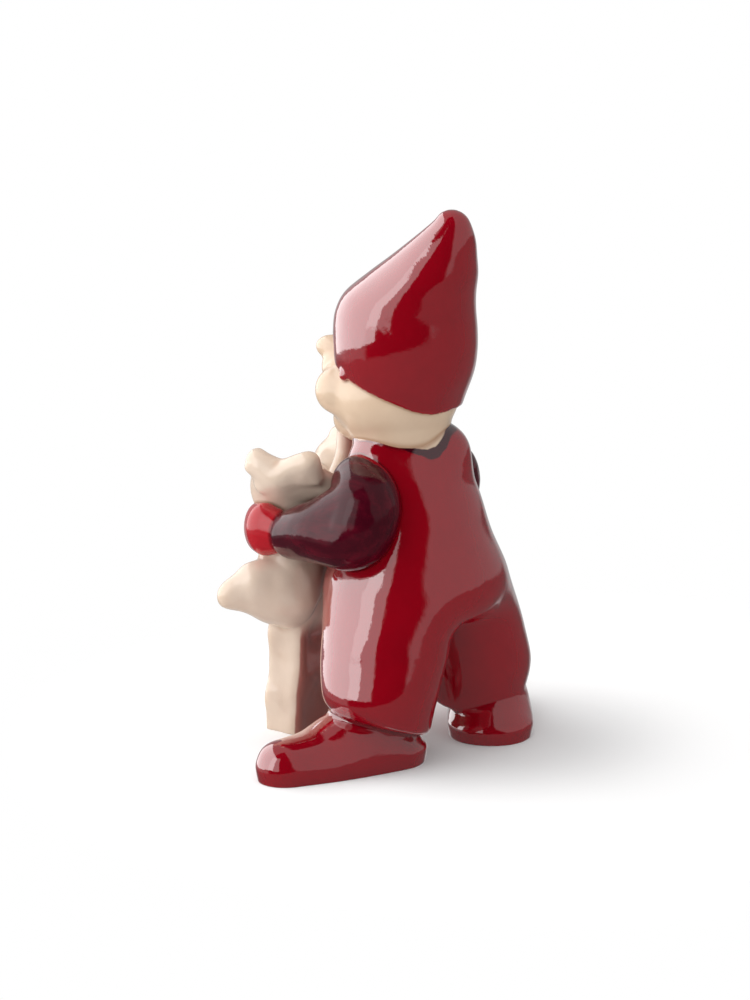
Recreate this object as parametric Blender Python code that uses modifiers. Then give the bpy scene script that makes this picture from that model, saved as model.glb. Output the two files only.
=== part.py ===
"""Christmas elf figurine in glazed ceramic, about 144 mm tall.

A small elf in overalls and a tall pointed hat stands on turned-out shoes and hugs a big puffy star, whose
long lowest ray reaches down to the table. Such a figure is slip cast: thin clay sections are cast in plaster
moulds, cut at their seams, luted together and glazed in one firing. Every section here is one solid.

Units are metres, +Z is up. The elf faces -Y and its left hand is on +X. The origin lies on the table, under
the centre of the figure's bounding box.
"""
import math

import bmesh
import bpy
from mathutils import Matrix, Vector

NAME = "christmas_elf_figurine"

# Clay wall, seams and soft edges
WALL = 0.0035            # thickness of the cast wall
CLEARANCE = 0.0003       # gap left at every seam
SWELL = CLEARANCE * 1.3  # a swollen neighbour also makes up for its flat facets
VENT_RADIUS = 0.003      # hole that lets steam out of each hollow foot
DRAIN_RADIUS = 0.0055    # hole between two hollow sections
ANKLE_RADIUS = 0.0050    # the leg's hollow where it meets the shoe
CLAY_GRAIN = 0.0011      # size of the cells that weld the lumps of one section
FINE_GRAIN = 0.0008      # the same for the smaller sections

# Overalls: body and trouser legs
HIP_HEIGHT = 0.0400      # seam between the body and the trouser legs
CROTCH_HEIGHT = 0.0365
NECK_HEIGHT = 0.0800     # seam between the body and the head
HIP_WIDTH = 0.0590       # just above the crotch
BELLY_HEIGHT = 0.0450
BELLY_WIDTH = 0.0550
BELLY_DEPTH = 0.0466
WAIST_HEIGHT = 0.0575
WAIST_WIDTH = 0.0420
WAIST_DEPTH = 0.0372
CHEST_HEIGHT = 0.0700
CHEST_WIDTH = 0.0340
CHEST_DEPTH = 0.0300
NECK_WIDTH = 0.0230
NECK_CENTRE_Y = -0.0058
COLLAR_RISE = 0.22       # slope of the collar, higher at the nape
COLLAR_ROLL = 0.09       # slope of the collar, higher on the right
SHOULDERS = Vector((0.0, -0.0003, 0.0764))
SHOULDERS_RADII = (0.0172, 0.0112, 0.0108)
LEG_WIDTH = 0.0306
KNEE_HEIGHT = 0.0190     # where a trouser leg is widest
THIGH_HEIGHT = 0.0285    # just below the crotch
THIGH_SPREAD = 0.0346    # between the middles of the legs at that height
THIGH_WIDTH = 0.0324
THIGH_DEPTH = 0.0340
HEM_HEIGHT = 0.0108      # seam between a trouser leg and its shoe, at the middle of the leg
HEM_TILT = 18.0          # the hem rises towards the toes
LEFT_LEG = Vector((0.0210, 0.0014, 0.0))
RIGHT_LEG = Vector((-0.0202, 0.0054, 0.0))

# Shoes
SHOE_LENGTH = 0.0505
HEEL_WIDTH = 0.0235
BALL_WIDTH = 0.0205
TOE_WIDTH = 0.0155
TOE_HEIGHT = 0.0120
INSTEP_HEIGHT = 0.0170
SOLE_EDGE = 0.0012       # the glaze rounds the sole's lower edge by this much
LEFT_HEEL = Vector((0.0175, 0.0003, 0.0))
RIGHT_HEEL = Vector((-0.0163, 0.0128, 0.0))
LEFT_TURNOUT = 67.0
RIGHT_TURNOUT = 58.0

# Head and hat
HEAD_CENTRE = Vector((0.0, -0.0072, 0.0945))
HEAD_WIDTH = 0.0340
HEAD_DEPTH = 0.0344
HEAD_HEIGHT = 0.0300
CHEEK_RADIUS = 0.0066
CHEEK_SPREAD = 0.0180
CHIN = Vector((0.0, -0.0092, -0.0080))    # from the head's middle
CHIN_RADII = (0.0100, 0.0078, 0.0066)
NOSE_RADIUS = 0.0034
NOSE_LENGTH = 0.0110
NOSE = Vector((0.0, -0.0186, 0.0094))     # from the head's middle
NOSE_BRIDGE_RADIUS = 0.0060
HAT_WIDTH = 0.0376
HAT_HEIGHT = 0.0484      # from the middle of the brim to the tip
HAT_TIP_RADIUS = 0.0051
HAT_LEAN = 0.0140        # how far the tip lies behind the middle of the brim
BRIM_HEIGHT = 0.0954     # middle of the brim above the table
BRIM_TILT = 20.0         # the hat sits lower at the back
BRIM_ROLL = 0.0012

# Arms
SHOULDER_HEIGHT = 0.0745
SHOULDER_SPREAD = 0.0300
ELBOW_SPREAD = 0.0470
SLEEVE_WIDTH = 0.0190
CUFF_WIDTH = 0.0136
HAND_HEIGHT = 0.0578
HAND_SPREAD = 0.0400
HAND_REACH = 0.0345      # how far the hands lie in front of the body's middle
MITTEN_LENGTH = 0.0150
MITTEN_WIDTH = 0.0135
RIGHT_ARM_FORWARD = 0.003

# Star, drawn for its left half; the right half is its mirror image
STAR_CENTRE = Vector((0.0, -0.0330, 0.0570))
STAR_THICKNESS = 0.0155
STAR_HUB_WIDTH = 0.0280
UPPER_RAY = Vector((0.0220, -0.0380, 0.0775))
UPPER_RAY_BACK = Vector((0.0190, -0.0232, 0.0770))
LOWER_RAY = Vector((0.0241, -0.0440, 0.0390))
TOP_RAY = Vector((0.0, -0.0205, 0.0850))
FOOT_WIDTH = 0.0240
FOOT_DEPTH = 0.0118
FOOT_CENTRE_Y = -0.0363
FOOT_LEAN = 0.0038       # how far the foot leans back from the table up to the hub
RAY_TIP_RADIUS = 0.0018
SOFT_EDGE = 0.0022       # radius of the foot's long edges

# Colours, roughness of the glaze
RED = (0.240, 0.0015, 0.006)
BURGUNDY = (0.060, 0.004, 0.014)
MITTEN_RED = (0.430, 0.010, 0.018)
CREAM = (0.800, 0.640, 0.500)
SKIN = (0.700, 0.500, 0.360)


def clear_scene():
    for item in list(bpy.data.objects):
        bpy.data.objects.remove(item)


def new_collection(name):
    collection = bpy.data.collections.new(name)
    bpy.context.scene.collection.children.link(collection)
    return collection


clear_scene()
PARTS = new_collection(NAME)
CUTTERS = new_collection("cutters")


def new_material(name, colour, roughness):
    material = bpy.data.materials.new(name)
    material.use_nodes = True
    shader = material.node_tree.nodes["Principled BSDF"]
    shader.inputs["Base Color"].default_value = (*colour, 1.0)
    shader.inputs["Roughness"].default_value = roughness
    shader.inputs["Metallic"].default_value = 0.0
    return material


def new_object(name, mesh, collection):
    item = bpy.data.objects.new(name, mesh)
    collection.objects.link(item)
    if collection is CUTTERS:
        item.hide_render = True
        item.display_type = 'WIRE'
    return item


def baked_mesh(item, name):
    """The object's mesh with its modifiers applied. The object is removed."""
    bpy.context.view_layer.update()
    evaluated = item.evaluated_get(bpy.context.evaluated_depsgraph_get())
    mesh = bpy.data.meshes.new_from_object(evaluated)
    mesh.name = name
    bpy.data.objects.remove(item)
    return mesh


def triangles_in(item):
    bpy.context.view_layer.update()
    evaluated = item.evaluated_get(bpy.context.evaluated_depsgraph_get())
    mesh = evaluated.to_mesh()
    mesh.calc_loop_triangles()
    count = len(mesh.loop_triangles)
    evaluated.to_mesh_clear()
    return count


def ball(centre, radii, sides=24):
    """Points on an ellipsoid. One number gives a sphere."""
    if isinstance(radii, float):
        radii = (radii, radii, radii)
    shape = bmesh.new()
    bmesh.ops.create_uvsphere(shape, u_segments=sides, v_segments=sides // 2, radius=1.0)
    points = [Vector(centre) + Vector([a * b for a, b in zip(vertex.co, radii)]) for vertex in shape.verts]
    shape.free()
    return points


def ring(centre, half_width, half_depth, sides=40):
    """Points on a level ellipse."""
    points = []
    for step in range(sides):
        angle = 2.0 * math.pi * step / sides
        points.append(Vector((centre[0] + half_width * math.cos(angle),
                              centre[1] + half_depth * math.sin(angle), centre[2])))
    return points


def hull(points):
    """The tightest convex lump round some points."""
    shape = bmesh.new()
    for point in points:
        shape.verts.new(point)
    result = bmesh.ops.convex_hull(shape, input=shape.verts)
    inside = [item for item in result["geom_interior"] if isinstance(item, bmesh.types.BMVert)]
    bmesh.ops.delete(shape, geom=inside, context='VERTS')
    bmesh.ops.recalc_face_normals(shape, faces=shape.faces)
    mesh = bpy.data.meshes.new("lump")
    shape.to_mesh(mesh)
    shape.free()
    return mesh


def chain(stations, to_points):
    """A limb: one lump for each pair of neighbouring stations."""
    lumps = []
    for first, second in zip(stations, stations[1:]):
        lumps.append(hull(to_points(*first) + to_points(*second)))
    return lumps


def roll(line, radius):
    """A thin roll of clay along a closed line of points."""
    lumps = []
    for here, there in zip(line, line[1:] + line[:1]):
        lumps.append(hull(ball(here, radius, 8) + ball(there, radius, 8)))
    return lumps


def clay(name, lumps, grain, passes, triangles):
    """Weld overlapping lumps into one soft closed mesh of about the wanted number of triangles."""
    joined = bmesh.new()
    for lump in lumps:
        joined.from_mesh(lump)
    mesh = bpy.data.meshes.new(name)
    joined.to_mesh(mesh)
    joined.free()
    item = new_object(name, mesh, CUTTERS)
    weld = item.modifiers.new("weld", 'REMESH')
    weld.mode = 'VOXEL'
    weld.voxel_size = grain
    soften = item.modifiers.new("soften", 'SMOOTH')
    soften.factor = 0.5
    soften.iterations = passes
    thin = item.modifiers.new("thin", 'DECIMATE')
    thin.ratio = min(1.0, triangles / triangles_in(item))
    return baked_mesh(item, name)


def cutter(name, mesh, grow=0.0):
    """A hidden helper from a mesh, swollen by a clearance."""
    item = new_object(name, mesh.copy(), CUTTERS)
    if grow > 0.0:
        swell = item.modifiers.new("swell", 'DISPLACE')
        swell.strength = grow
        swell.mid_level = 0.0
        return new_object(name, baked_mesh(item, name), CUTTERS)
    return item


def box_cutter(name, low, high, matrix=None):
    shape = bmesh.new()
    bmesh.ops.create_cube(shape, size=1.0)
    low = Vector(low)
    high = Vector(high)
    size = high - low
    for vertex in shape.verts:
        vertex.co = low + Vector([(a + 0.5) * b for a, b in zip(vertex.co, size)])
    if matrix:
        shape.transform(matrix)
    mesh = bpy.data.meshes.new(name)
    shape.to_mesh(mesh)
    shape.free()
    return new_object(name, mesh, CUTTERS)


def rod_cutter(name, centre, radius, low, high, sides=20):
    shape = bmesh.new()
    bmesh.ops.create_cone(shape, cap_ends=True, segments=sides, radius1=radius, radius2=radius,
                          depth=high - low)
    shape.transform(Matrix.Translation((centre[0], centre[1], (low + high) / 2.0)))
    mesh = bpy.data.meshes.new(name)
    shape.to_mesh(mesh)
    shape.free()
    return new_object(name, mesh, CUTTERS)


def section(name, mesh, material, cutters):
    """One cast section: the clay mesh with everything cut away that belongs to its neighbours."""
    item = new_object(name, mesh.copy(), PARTS)
    for number, helper in enumerate(cutters):
        cut = item.modifiers.new("cut_" + str(number), 'BOOLEAN')
        cut.operation = 'DIFFERENCE'
        cut.solver = 'EXACT'
        cut.object = helper
    solid = baked_mesh(item, name)
    item = new_object(name, solid, PARTS)
    item.data.materials.clear()
    item.data.materials.append(material)
    item.data.shade_smooth()
    item.data.set_sharp_from_angle(angle=math.radians(50.0))
    return item


def turned_out(side, degrees):
    """Level direction of a foot: side is +1 for the left and -1 for the right."""
    angle = math.radians(degrees)
    return Vector((side * math.sin(angle), -math.cos(angle), 0.0))


RED_GLAZE = new_material("red_glaze", RED, 0.12)
BURGUNDY_GLAZE = new_material("burgundy_glaze", BURGUNDY, 0.12)
MITTEN_GLAZE = new_material("mitten_glaze", MITTEN_RED, 0.15)
CREAM_GLAZE = new_material("cream_glaze", CREAM, 0.30)
SKIN_GLAZE = new_material("skin_glaze", SKIN, 0.30)

FAR = 0.2    # reach of the cutting boxes, past every side of the figure


# Overalls: one soft form, cut into the body and two trouser legs
def body_rings(shrink):
    """Level outlines of the body from the crotch to the neck, each drawn in by shrink."""
    outlines = (
        (CROTCH_HEIGHT + 0.0010, 0.0004, HIP_WIDTH * 0.80, BELLY_DEPTH * 0.86),
        (BELLY_HEIGHT, -0.0004, BELLY_WIDTH, BELLY_DEPTH),
        (WAIST_HEIGHT, 0.0001, WAIST_WIDTH, WAIST_DEPTH),
        (CHEST_HEIGHT, -0.0010, CHEST_WIDTH, CHEST_DEPTH),
        (NECK_HEIGHT - 0.002, NECK_CENTRE_Y + 0.0016, NECK_WIDTH * 1.18, NECK_WIDTH * 1.12),
        (NECK_HEIGHT + 0.006, NECK_CENTRE_Y, NECK_WIDTH, NECK_WIDTH),
    )
    rings = []
    for height, middle, width, depth in outlines:
        rings.append(((0.0, middle, height), width / 2.0 - shrink, depth / 2.0 - shrink))
    return rings


def hem_plane(foot, heel_to_toe, lift):
    """The tilted plane of a trouser hem, raised by lift."""
    across = Vector((0.0, 0.0, 1.0)).cross(heel_to_toe)
    return (Matrix.Translation((foot.x, foot.y, HEM_HEIGHT + lift))
            @ Matrix.Rotation(-math.radians(HEM_TILT), 4, across))


def leg_lumps(side, foot, heel_to_toe):
    half = LEG_WIDTH / 2.0
    belly = ring(*body_rings(0.0)[1])
    hips = ring((side * THIGH_SPREAD * 0.22, foot.y * 0.26, CROTCH_HEIGHT + 0.0010),
                HIP_WIDTH * 0.382, HIP_WIDTH * 0.348)
    thigh = ring((side * THIGH_SPREAD / 2.0, foot.y * 0.55, THIGH_HEIGHT), THIGH_WIDTH / 2.0, THIGH_DEPTH / 2.0)
    knee = ring((foot.x, foot.y, KNEE_HEIGHT), half, half)
    plane = hem_plane(foot, heel_to_toe, 0.0)
    hem = [plane @ point for point in ring((0.0, 0.0, -CLAY_GRAIN), half, half)]
    return [hull(belly + hips), hull(hips + thigh), hull(thigh + knee), hull(knee + hem)]


LEFT_TOE_WAY = turned_out(1, LEFT_TURNOUT)
RIGHT_TOE_WAY = turned_out(-1, RIGHT_TURNOUT)
overalls_lumps = chain(body_rings(0.0), ring)
overalls_lumps += leg_lumps(1, LEFT_LEG, LEFT_TOE_WAY) + leg_lumps(-1, RIGHT_LEG, RIGHT_TOE_WAY)
overalls_lumps.append(hull(ring(*body_rings(0.0)[3]) + ball(SHOULDERS, SHOULDERS_RADII)))
overalls = clay("overalls", overalls_lumps, CLAY_GRAIN, 12, 2500)

# Head: ball, cheeks, chin and neck, cut under the brim and at the collar
brim_turn = Matrix.Translation((0.0, 0.0, BRIM_HEIGHT)) @ Matrix.Rotation(-math.radians(BRIM_TILT), 4, 'X')


def brim_box(name, low, high):
    """A box above or below the brim's plane, which leans back with the hat."""
    return box_cutter(name, (-FAR, -FAR, low), (FAR, FAR, high), brim_turn)


cheek_y = HEAD_CENTRE.y - HEAD_DEPTH / 2.0 + CHEEK_RADIUS * 0.90
face = Vector((0.0, cheek_y, HEAD_CENTRE.z))
muzzle = ball(face + Vector((0.0, 0.0004, 0.0010)),
              (CHEEK_SPREAD * 0.50, CHEEK_RADIUS * 1.06, CHEEK_RADIUS * 0.90))
nose_bridge = ball(face + Vector((0.0, -0.0044, 0.0046)), NOSE_BRIDGE_RADIUS)
head_lumps = [
    hull(ball(HEAD_CENTRE, (HEAD_WIDTH / 2.0, HEAD_DEPTH / 2.0, HEAD_HEIGHT / 2.0))),
    hull(muzzle + nose_bridge),
    hull(ball(HEAD_CENTRE + CHIN, CHIN_RADII)),
    hull(ring((0.0, NECK_CENTRE_Y, NECK_HEIGHT - 0.004), NECK_WIDTH * 0.45, NECK_WIDTH * 0.45)
         + ring((0.0, HEAD_CENTRE.y, HEAD_CENTRE.z - 0.004), HEAD_WIDTH * 0.42, HEAD_DEPTH * 0.42)),
]
for side in (-1, 1):
    cheek = Vector((side * CHEEK_SPREAD / 2.0, cheek_y, HEAD_CENTRE.z + 0.0005))
    head_lumps.append(hull(ball(cheek, CHEEK_RADIUS)))
    inner_cheek = ball(cheek + Vector((-side * 0.0015, 0.0, 0.0015)), CHEEK_RADIUS * 0.84)
    head_lumps.append(hull(inner_cheek + ball(face + Vector((0.0, -0.0040, 0.0042)), NOSE_BRIDGE_RADIUS * 0.8)))
head_clay = clay("head_clay", head_lumps, FINE_GRAIN, 10, 1100)

# Hat: stations from the brim to the tip, as shares of its height, width and lean
HAT_STATIONS = (
    (-0.18, -0.36, 0.745),
    (-0.02, -0.34, 0.865),
    (0.12, -0.29, 0.965),
    (0.24, -0.28, 1.002),
    (0.34, -0.28, 0.996),
    (0.43, -0.27, 0.968),
    (0.53, -0.17, 0.905),
    (0.64, 0.11, 0.755),
    (0.74, 0.34, 0.588),
    (0.84, 0.55, 0.428),
)


def hat_rings(shrink):
    rings = []
    for height, lean, width in HAT_STATIONS:
        radius = HAT_WIDTH / 2.0 * width - shrink
        rings.append(((0.0, HAT_LEAN * lean, BRIM_HEIGHT + HAT_HEIGHT * height), radius, radius))
    return rings


def hat_station(share):
    """Lean and radius of the hat at a share of its height."""
    for low, high in zip(HAT_STATIONS, HAT_STATIONS[1:]):
        if share <= high[0]:
            part = (share - low[0]) / (high[0] - low[0])
            lean = low[1] + (high[1] - low[1]) * part
            width = low[2] + (high[2] - low[2]) * part
            return HAT_LEAN * lean, HAT_WIDTH / 2.0 * width
    return HAT_LEAN * high[1], HAT_WIDTH / 2.0 * high[2]


def brim_point(angle, inset, lift):
    """Where the hat's wall meets the brim's plane, at an angle round the hat."""
    low = HAT_STATIONS[0][0]
    high = HAT_STATIONS[4][0]
    for _ in range(24):
        share = (low + high) / 2.0
        lean, radius = hat_station(share)
        y = lean + (radius - inset) * math.sin(angle)
        if HAT_HEIGHT * share > -y * math.tan(math.radians(BRIM_TILT)):
            high = share
        else:
            low = share
    return Vector(((radius - inset) * math.cos(angle), y, BRIM_HEIGHT + HAT_HEIGHT * share + lift))


tip_centre = Vector((0.0, HAT_LEAN * 0.71, BRIM_HEIGHT + HAT_HEIGHT - HAT_TIP_RADIUS))
hat_shell = chain(hat_rings(0.0), ring)
last = hat_rings(0.0)[-1]
hat_shell.append(hull(ring(*last) + ball(tip_centre, HAT_TIP_RADIUS)))
hat_block = clay("hat_block", hat_shell, CLAY_GRAIN, 4, 9000)
hat_above = section("hat_above", hat_block, RED_GLAZE, [brim_box("below_brim", -FAR, 0.0)])
brim_line = [brim_point(2.0 * math.pi * step / 40.0, BRIM_ROLL * 0.75, BRIM_ROLL) for step in range(40)]
hat_clay = clay("hat_clay", [hat_above.data] + roll(brim_line, BRIM_ROLL), CLAY_GRAIN, 4, 1100)
bpy.data.objects.remove(hat_above)


# Sleeves and mittens
def arm_stations(side, forward):
    shoulder = Vector((side * SHOULDER_SPREAD / 2.0, -0.0055 - forward, SHOULDER_HEIGHT))
    upper = Vector((side * (ELBOW_SPREAD / 2.0 - 0.0020), -0.0030 - forward, SHOULDER_HEIGHT - 0.007))
    elbow = Vector((side * ELBOW_SPREAD / 2.0, -0.0050 - forward, HAND_HEIGHT + 0.003))
    wrist = Vector((side * HAND_SPREAD / 2.0, -HAND_REACH + MITTEN_LENGTH * 0.62, HAND_HEIGHT))
    forearm = (elbow + wrist) / 2.0 + Vector((side * 0.0008, 0.0, 0.0010))
    return shoulder, upper, elbow, forearm, wrist


def sleeve_lumps(side, forward):
    shoulder, upper, elbow, forearm, wrist = arm_stations(side, forward)
    half = SLEEVE_WIDTH / 2.0
    stations = ((shoulder, half * 0.86), (upper, half), (elbow, half * 0.95), (forearm, half * 0.90),
                (wrist, CUFF_WIDTH / 2.0))
    crook = hull(ball(*stations[1]) + ball(*stations[3]))
    return chain(stations, ball) + [crook]


def mitten_lumps(side):
    centre = Vector((side * HAND_SPREAD / 2.0, -HAND_REACH, HAND_HEIGHT))
    width = MITTEN_WIDTH / 2.0
    palm = ball(centre, (width * 0.72, MITTEN_LENGTH * 0.36, width * 1.08))
    fingers = ball(centre + Vector((-side * 0.0030, -0.0042, -0.0006)),
                   (width * 0.66, MITTEN_LENGTH * 0.24, width))
    wrist = ball(centre + Vector((0.0, MITTEN_LENGTH * 0.45, 0.0)), width * 0.72)
    return [hull(palm + fingers), hull(palm + wrist)]


# Star: hub, two upper rays of two points each, two lower rays, a top ray and the long foot
half_thick = STAR_THICKNESS / 2.0
foot_half = FOOT_WIDTH / 2.0


def mirrored(point, side):
    return Vector((side * point.x, point.y, point.z))


def star_side(side):
    upper = mirrored(UPPER_RAY, side)
    upper_back = mirrored(UPPER_RAY_BACK, side)
    lower = mirrored(LOWER_RAY, side)
    hub = STAR_CENTRE
    middle = ball(hub, (STAR_HUB_WIDTH * 0.34, half_thick * 0.95, STAR_HUB_WIDTH * 0.40), 14)
    waist = ball(hub + Vector((side * STAR_HUB_WIDTH * 0.42, -0.0020, 0.0010)),
                 (0.0035, half_thick * 0.84, 0.0060), 12)
    upper_root = ball(hub + Vector((side * STAR_HUB_WIDTH * 0.50, -0.0008, 0.0110)),
                      (0.0050, half_thick * 1.12, 0.0050), 14)
    lower_root = ball(hub + Vector((side * STAR_HUB_WIDTH * 0.45, -0.0010, -0.0170)),
                      (0.0058, half_thick * 1.25, 0.0105), 16)
    lower_middle = ball((lower + hub + Vector((side * STAR_HUB_WIDTH * 0.45, 0.0, -0.0150))) / 2.0,
                        (0.0060, 0.0066, 0.0080), 14)
    upper_web = ball((upper + upper_back) / 2.0 - Vector((side * 0.0010, 0.0, 0.0042)), 0.0046, 14)
    upper_heel = ball((side * 0.0125, STAR_CENTRE.y + 0.0120, STAR_CENTRE.z + 0.0135), 0.0036, 12)
    lower_end = ball(lower + Vector((-side * 0.0010, 0.0, 0.0)), RAY_TIP_RADIUS * 1.7, 10)
    return [
        hull(middle + waist),
        hull(waist + upper_root + middle),
        hull(upper_root + upper_web + upper_heel),
        hull(upper_web + upper_heel + ball(upper_back, RAY_TIP_RADIUS, 10)),
        hull(upper_web + ball(upper, RAY_TIP_RADIUS * 1.4, 10)),
        hull(upper_web + ball(upper_back, RAY_TIP_RADIUS * 1.6, 10)),
        hull(upper_root + ball(upper - Vector((side * 0.001, 0.0, 0.003)), RAY_TIP_RADIUS, 10)
             + ball(upper_back - Vector((0.0, 0.0, 0.003)), RAY_TIP_RADIUS, 10)),
        hull(waist + lower_root + middle),
        hull(lower_root + lower_middle),
        hull(lower_middle + lower_end),
    ]


def foot_lump():
    """The lowest ray: a rounded plank that leans back from the table up to the hub."""
    points = []
    half_depth = FOOT_DEPTH / 2.0 - SOFT_EDGE
    for side in (-1, 1):
        for way in (-1, 1):
            for height, lean in ((-SOFT_EDGE * 2.0, 0.0), (STAR_CENTRE.z - STAR_HUB_WIDTH / 2.0, FOOT_LEAN)):
                centre = (side * (foot_half - SOFT_EDGE), FOOT_CENTRE_Y + lean + way * half_depth, height)
                points += ball(centre, SOFT_EDGE, 10)
    return hull(points)


hub_lump = hull(ball(STAR_CENTRE, (STAR_HUB_WIDTH / 2.0, half_thick, STAR_HUB_WIDTH / 2.0), 18))
top_root = ball(STAR_CENTRE + Vector((0.0, 0.0095, 0.0060)), (0.0060, 0.0042, 0.0060), 12)
top_lump = hull(top_root + ball(TOP_RAY, RAY_TIP_RADIUS * 1.5, 10))
foot_root = hull(ball(STAR_CENTRE + Vector((0.0, -0.0030, -0.0140)), (0.0100, half_thick * 0.95, 0.0115), 16))
star_lumps = star_side(1) + star_side(-1) + [hub_lump, top_lump, foot_root, foot_lump()]
star_clay = clay("star_clay", star_lumps, CLAY_GRAIN, 5, 2000)


# Shoes
def shoe_station(middle, width, height):
    """Points round one part of a shoe: sole edge, widest line and rounded top."""
    half = width / 2.0
    points = ring((middle.x, middle.y, -0.0010), half - SOLE_EDGE, half - SOLE_EDGE, 28)
    points += ring((middle.x, middle.y, 0.0040), half, half, 28)
    points += ball((middle.x, middle.y, height - half * 0.62), (half * 0.90, half * 0.90, half * 0.62), 18)
    return points


def shoe_lumps(heel, direction):
    lengthwise = SHOE_LENGTH - HEEL_WIDTH / 2.0 - TOE_WIDTH / 2.0
    instep = heel + direction * lengthwise * 0.25
    ball_of_foot = heel + direction * lengthwise * 0.62
    toe = heel + direction * lengthwise
    heel_points = shoe_station(heel, HEEL_WIDTH, INSTEP_HEIGHT)
    instep_points = shoe_station(instep, HEEL_WIDTH * 0.98, INSTEP_HEIGHT)
    middle_points = shoe_station(ball_of_foot, BALL_WIDTH, TOE_HEIGHT + 0.0012)
    toe_points = shoe_station(toe, TOE_WIDTH, TOE_HEIGHT)
    return [hull(heel_points + instep_points), hull(instep_points + middle_points),
            hull(middle_points + toe_points)]


left_shoe_clay = clay("left_shoe_clay", shoe_lumps(LEFT_HEEL, LEFT_TOE_WAY), CLAY_GRAIN, 4, 600)
right_shoe_clay = clay("right_shoe_clay", shoe_lumps(RIGHT_HEEL, RIGHT_TOE_WAY), CLAY_GRAIN, 4, 600)
left_sleeve_clay = clay("left_sleeve_clay", sleeve_lumps(1, 0.0), FINE_GRAIN, 6, 600)
right_sleeve_clay = clay("right_sleeve_clay", sleeve_lumps(-1, RIGHT_ARM_FORWARD), FINE_GRAIN, 6, 600)
left_mitten_clay = clay("left_mitten_clay", mitten_lumps(1), FINE_GRAIN, 4, 320)
right_mitten_clay = clay("right_mitten_clay", mitten_lumps(-1), FINE_GRAIN, 4, 320)
nose_clay = clay("nose_clay",
                 [hull(ball(HEAD_CENTRE + NOSE, (NOSE_RADIUS, NOSE_LENGTH / 2.0, NOSE_RADIUS)))],
                 FINE_GRAIN * 0.6, 2, 220)

# Helpers: planes of the seams
below_table = box_cutter("below_table", (-FAR, -FAR, -FAR), (FAR, FAR, 0.0))
neck_turn = (Matrix.Translation((0.0, NECK_CENTRE_Y, NECK_HEIGHT))
             @ Matrix.Rotation(math.atan(COLLAR_RISE), 4, 'X') @ Matrix.Rotation(math.atan(COLLAR_ROLL), 4, 'Y'))
above_neck = box_cutter("above_neck", (-FAR, -FAR, 0.0), (FAR, FAR, FAR), neck_turn)
below_neck = box_cutter("below_neck", (-FAR, -FAR, -FAR), (FAR, FAR, CLEARANCE), neck_turn)
below_hips = box_cutter("below_hips", (-FAR, -FAR, -FAR), (FAR, FAR, HIP_HEIGHT + CLEARANCE))
above_hips = box_cutter("above_hips", (-FAR, -FAR, HIP_HEIGHT), (FAR, FAR, FAR))
below_left_hem = box_cutter("below_left_hem", (-FAR, -FAR, -FAR), (FAR, FAR, CLEARANCE),
                            hem_plane(LEFT_LEG, LEFT_TOE_WAY, 0.0))
above_left_hem = box_cutter("above_left_hem", (-FAR, -FAR, 0.0), (FAR, FAR, FAR),
                            hem_plane(LEFT_LEG, LEFT_TOE_WAY, 0.0))
below_right_hem = box_cutter("below_right_hem", (-FAR, -FAR, -FAR), (FAR, FAR, CLEARANCE),
                             hem_plane(RIGHT_LEG, RIGHT_TOE_WAY, 0.0))
above_right_hem = box_cutter("above_right_hem", (-FAR, -FAR, 0.0), (FAR, FAR, FAR),
                             hem_plane(RIGHT_LEG, RIGHT_TOE_WAY, 0.0))
left_of_middle = box_cutter("left_of_middle", (-CLEARANCE / 2.0, -FAR, -FAR), (FAR, FAR, FAR))
right_of_middle = box_cutter("right_of_middle", (-FAR, -FAR, -FAR), (CLEARANCE / 2.0, FAR, FAR))
above_brim = brim_box("above_brim", -CLEARANCE, FAR)
under_brim = brim_box("under_brim", -FAR, 0.0)

# Helpers: hollows, which let the slip drain from section to section
body_hollow = clay("body_hollow", chain(body_rings(WALL)[1:], ring)
                   + [hull(ring((0.0, 0.0006, HIP_HEIGHT + WALL), BELLY_WIDTH / 2.0 - WALL * 1.6,
                                BELLY_DEPTH / 2.0 - WALL * 1.6) + ring(*body_rings(WALL)[1]))],
                   CLAY_GRAIN * 1.5, 3, 600)
body_hollow_cutter = cutter("body_hollow_cutter", body_hollow)
neck_bore = rod_cutter("neck_bore", (0.0, NECK_CENTRE_Y), NECK_WIDTH * 0.45 - WALL,
                       CHEST_HEIGHT, HEAD_CENTRE.z)
head_hollow = hull(ball(HEAD_CENTRE, (HEAD_WIDTH / 2.0 - WALL, HEAD_DEPTH / 2.0 - WALL,
                                      HEAD_HEIGHT / 2.0 - WALL)))
head_hollow_cutter = cutter("head_hollow_cutter", head_hollow)
hat_hollow = clay("hat_hollow", chain(hat_rings(WALL)[:-1], ring), CLAY_GRAIN * 1.5, 3, 500)
hat_hollow_cutter = cutter("hat_hollow_cutter", hat_hollow)


def leg_hollow(name, foot, heel):
    """Narrow at the hem, so that the shoe closes it all round."""
    inner = LEG_WIDTH / 2.0 - WALL
    ankle = (foot + heel * 2.0) / 3.0
    mesh = hull(ring((ankle.x, ankle.y, 0.0), ANKLE_RADIUS, ANKLE_RADIUS, 20)
                + ring((foot.x, foot.y, KNEE_HEIGHT + WALL), inner, inner, 20)
                + ring((foot.x * 0.66, foot.y, HIP_HEIGHT + WALL * 1.6), DRAIN_RADIUS, DRAIN_RADIUS, 20))
    return cutter(name, mesh)


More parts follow.
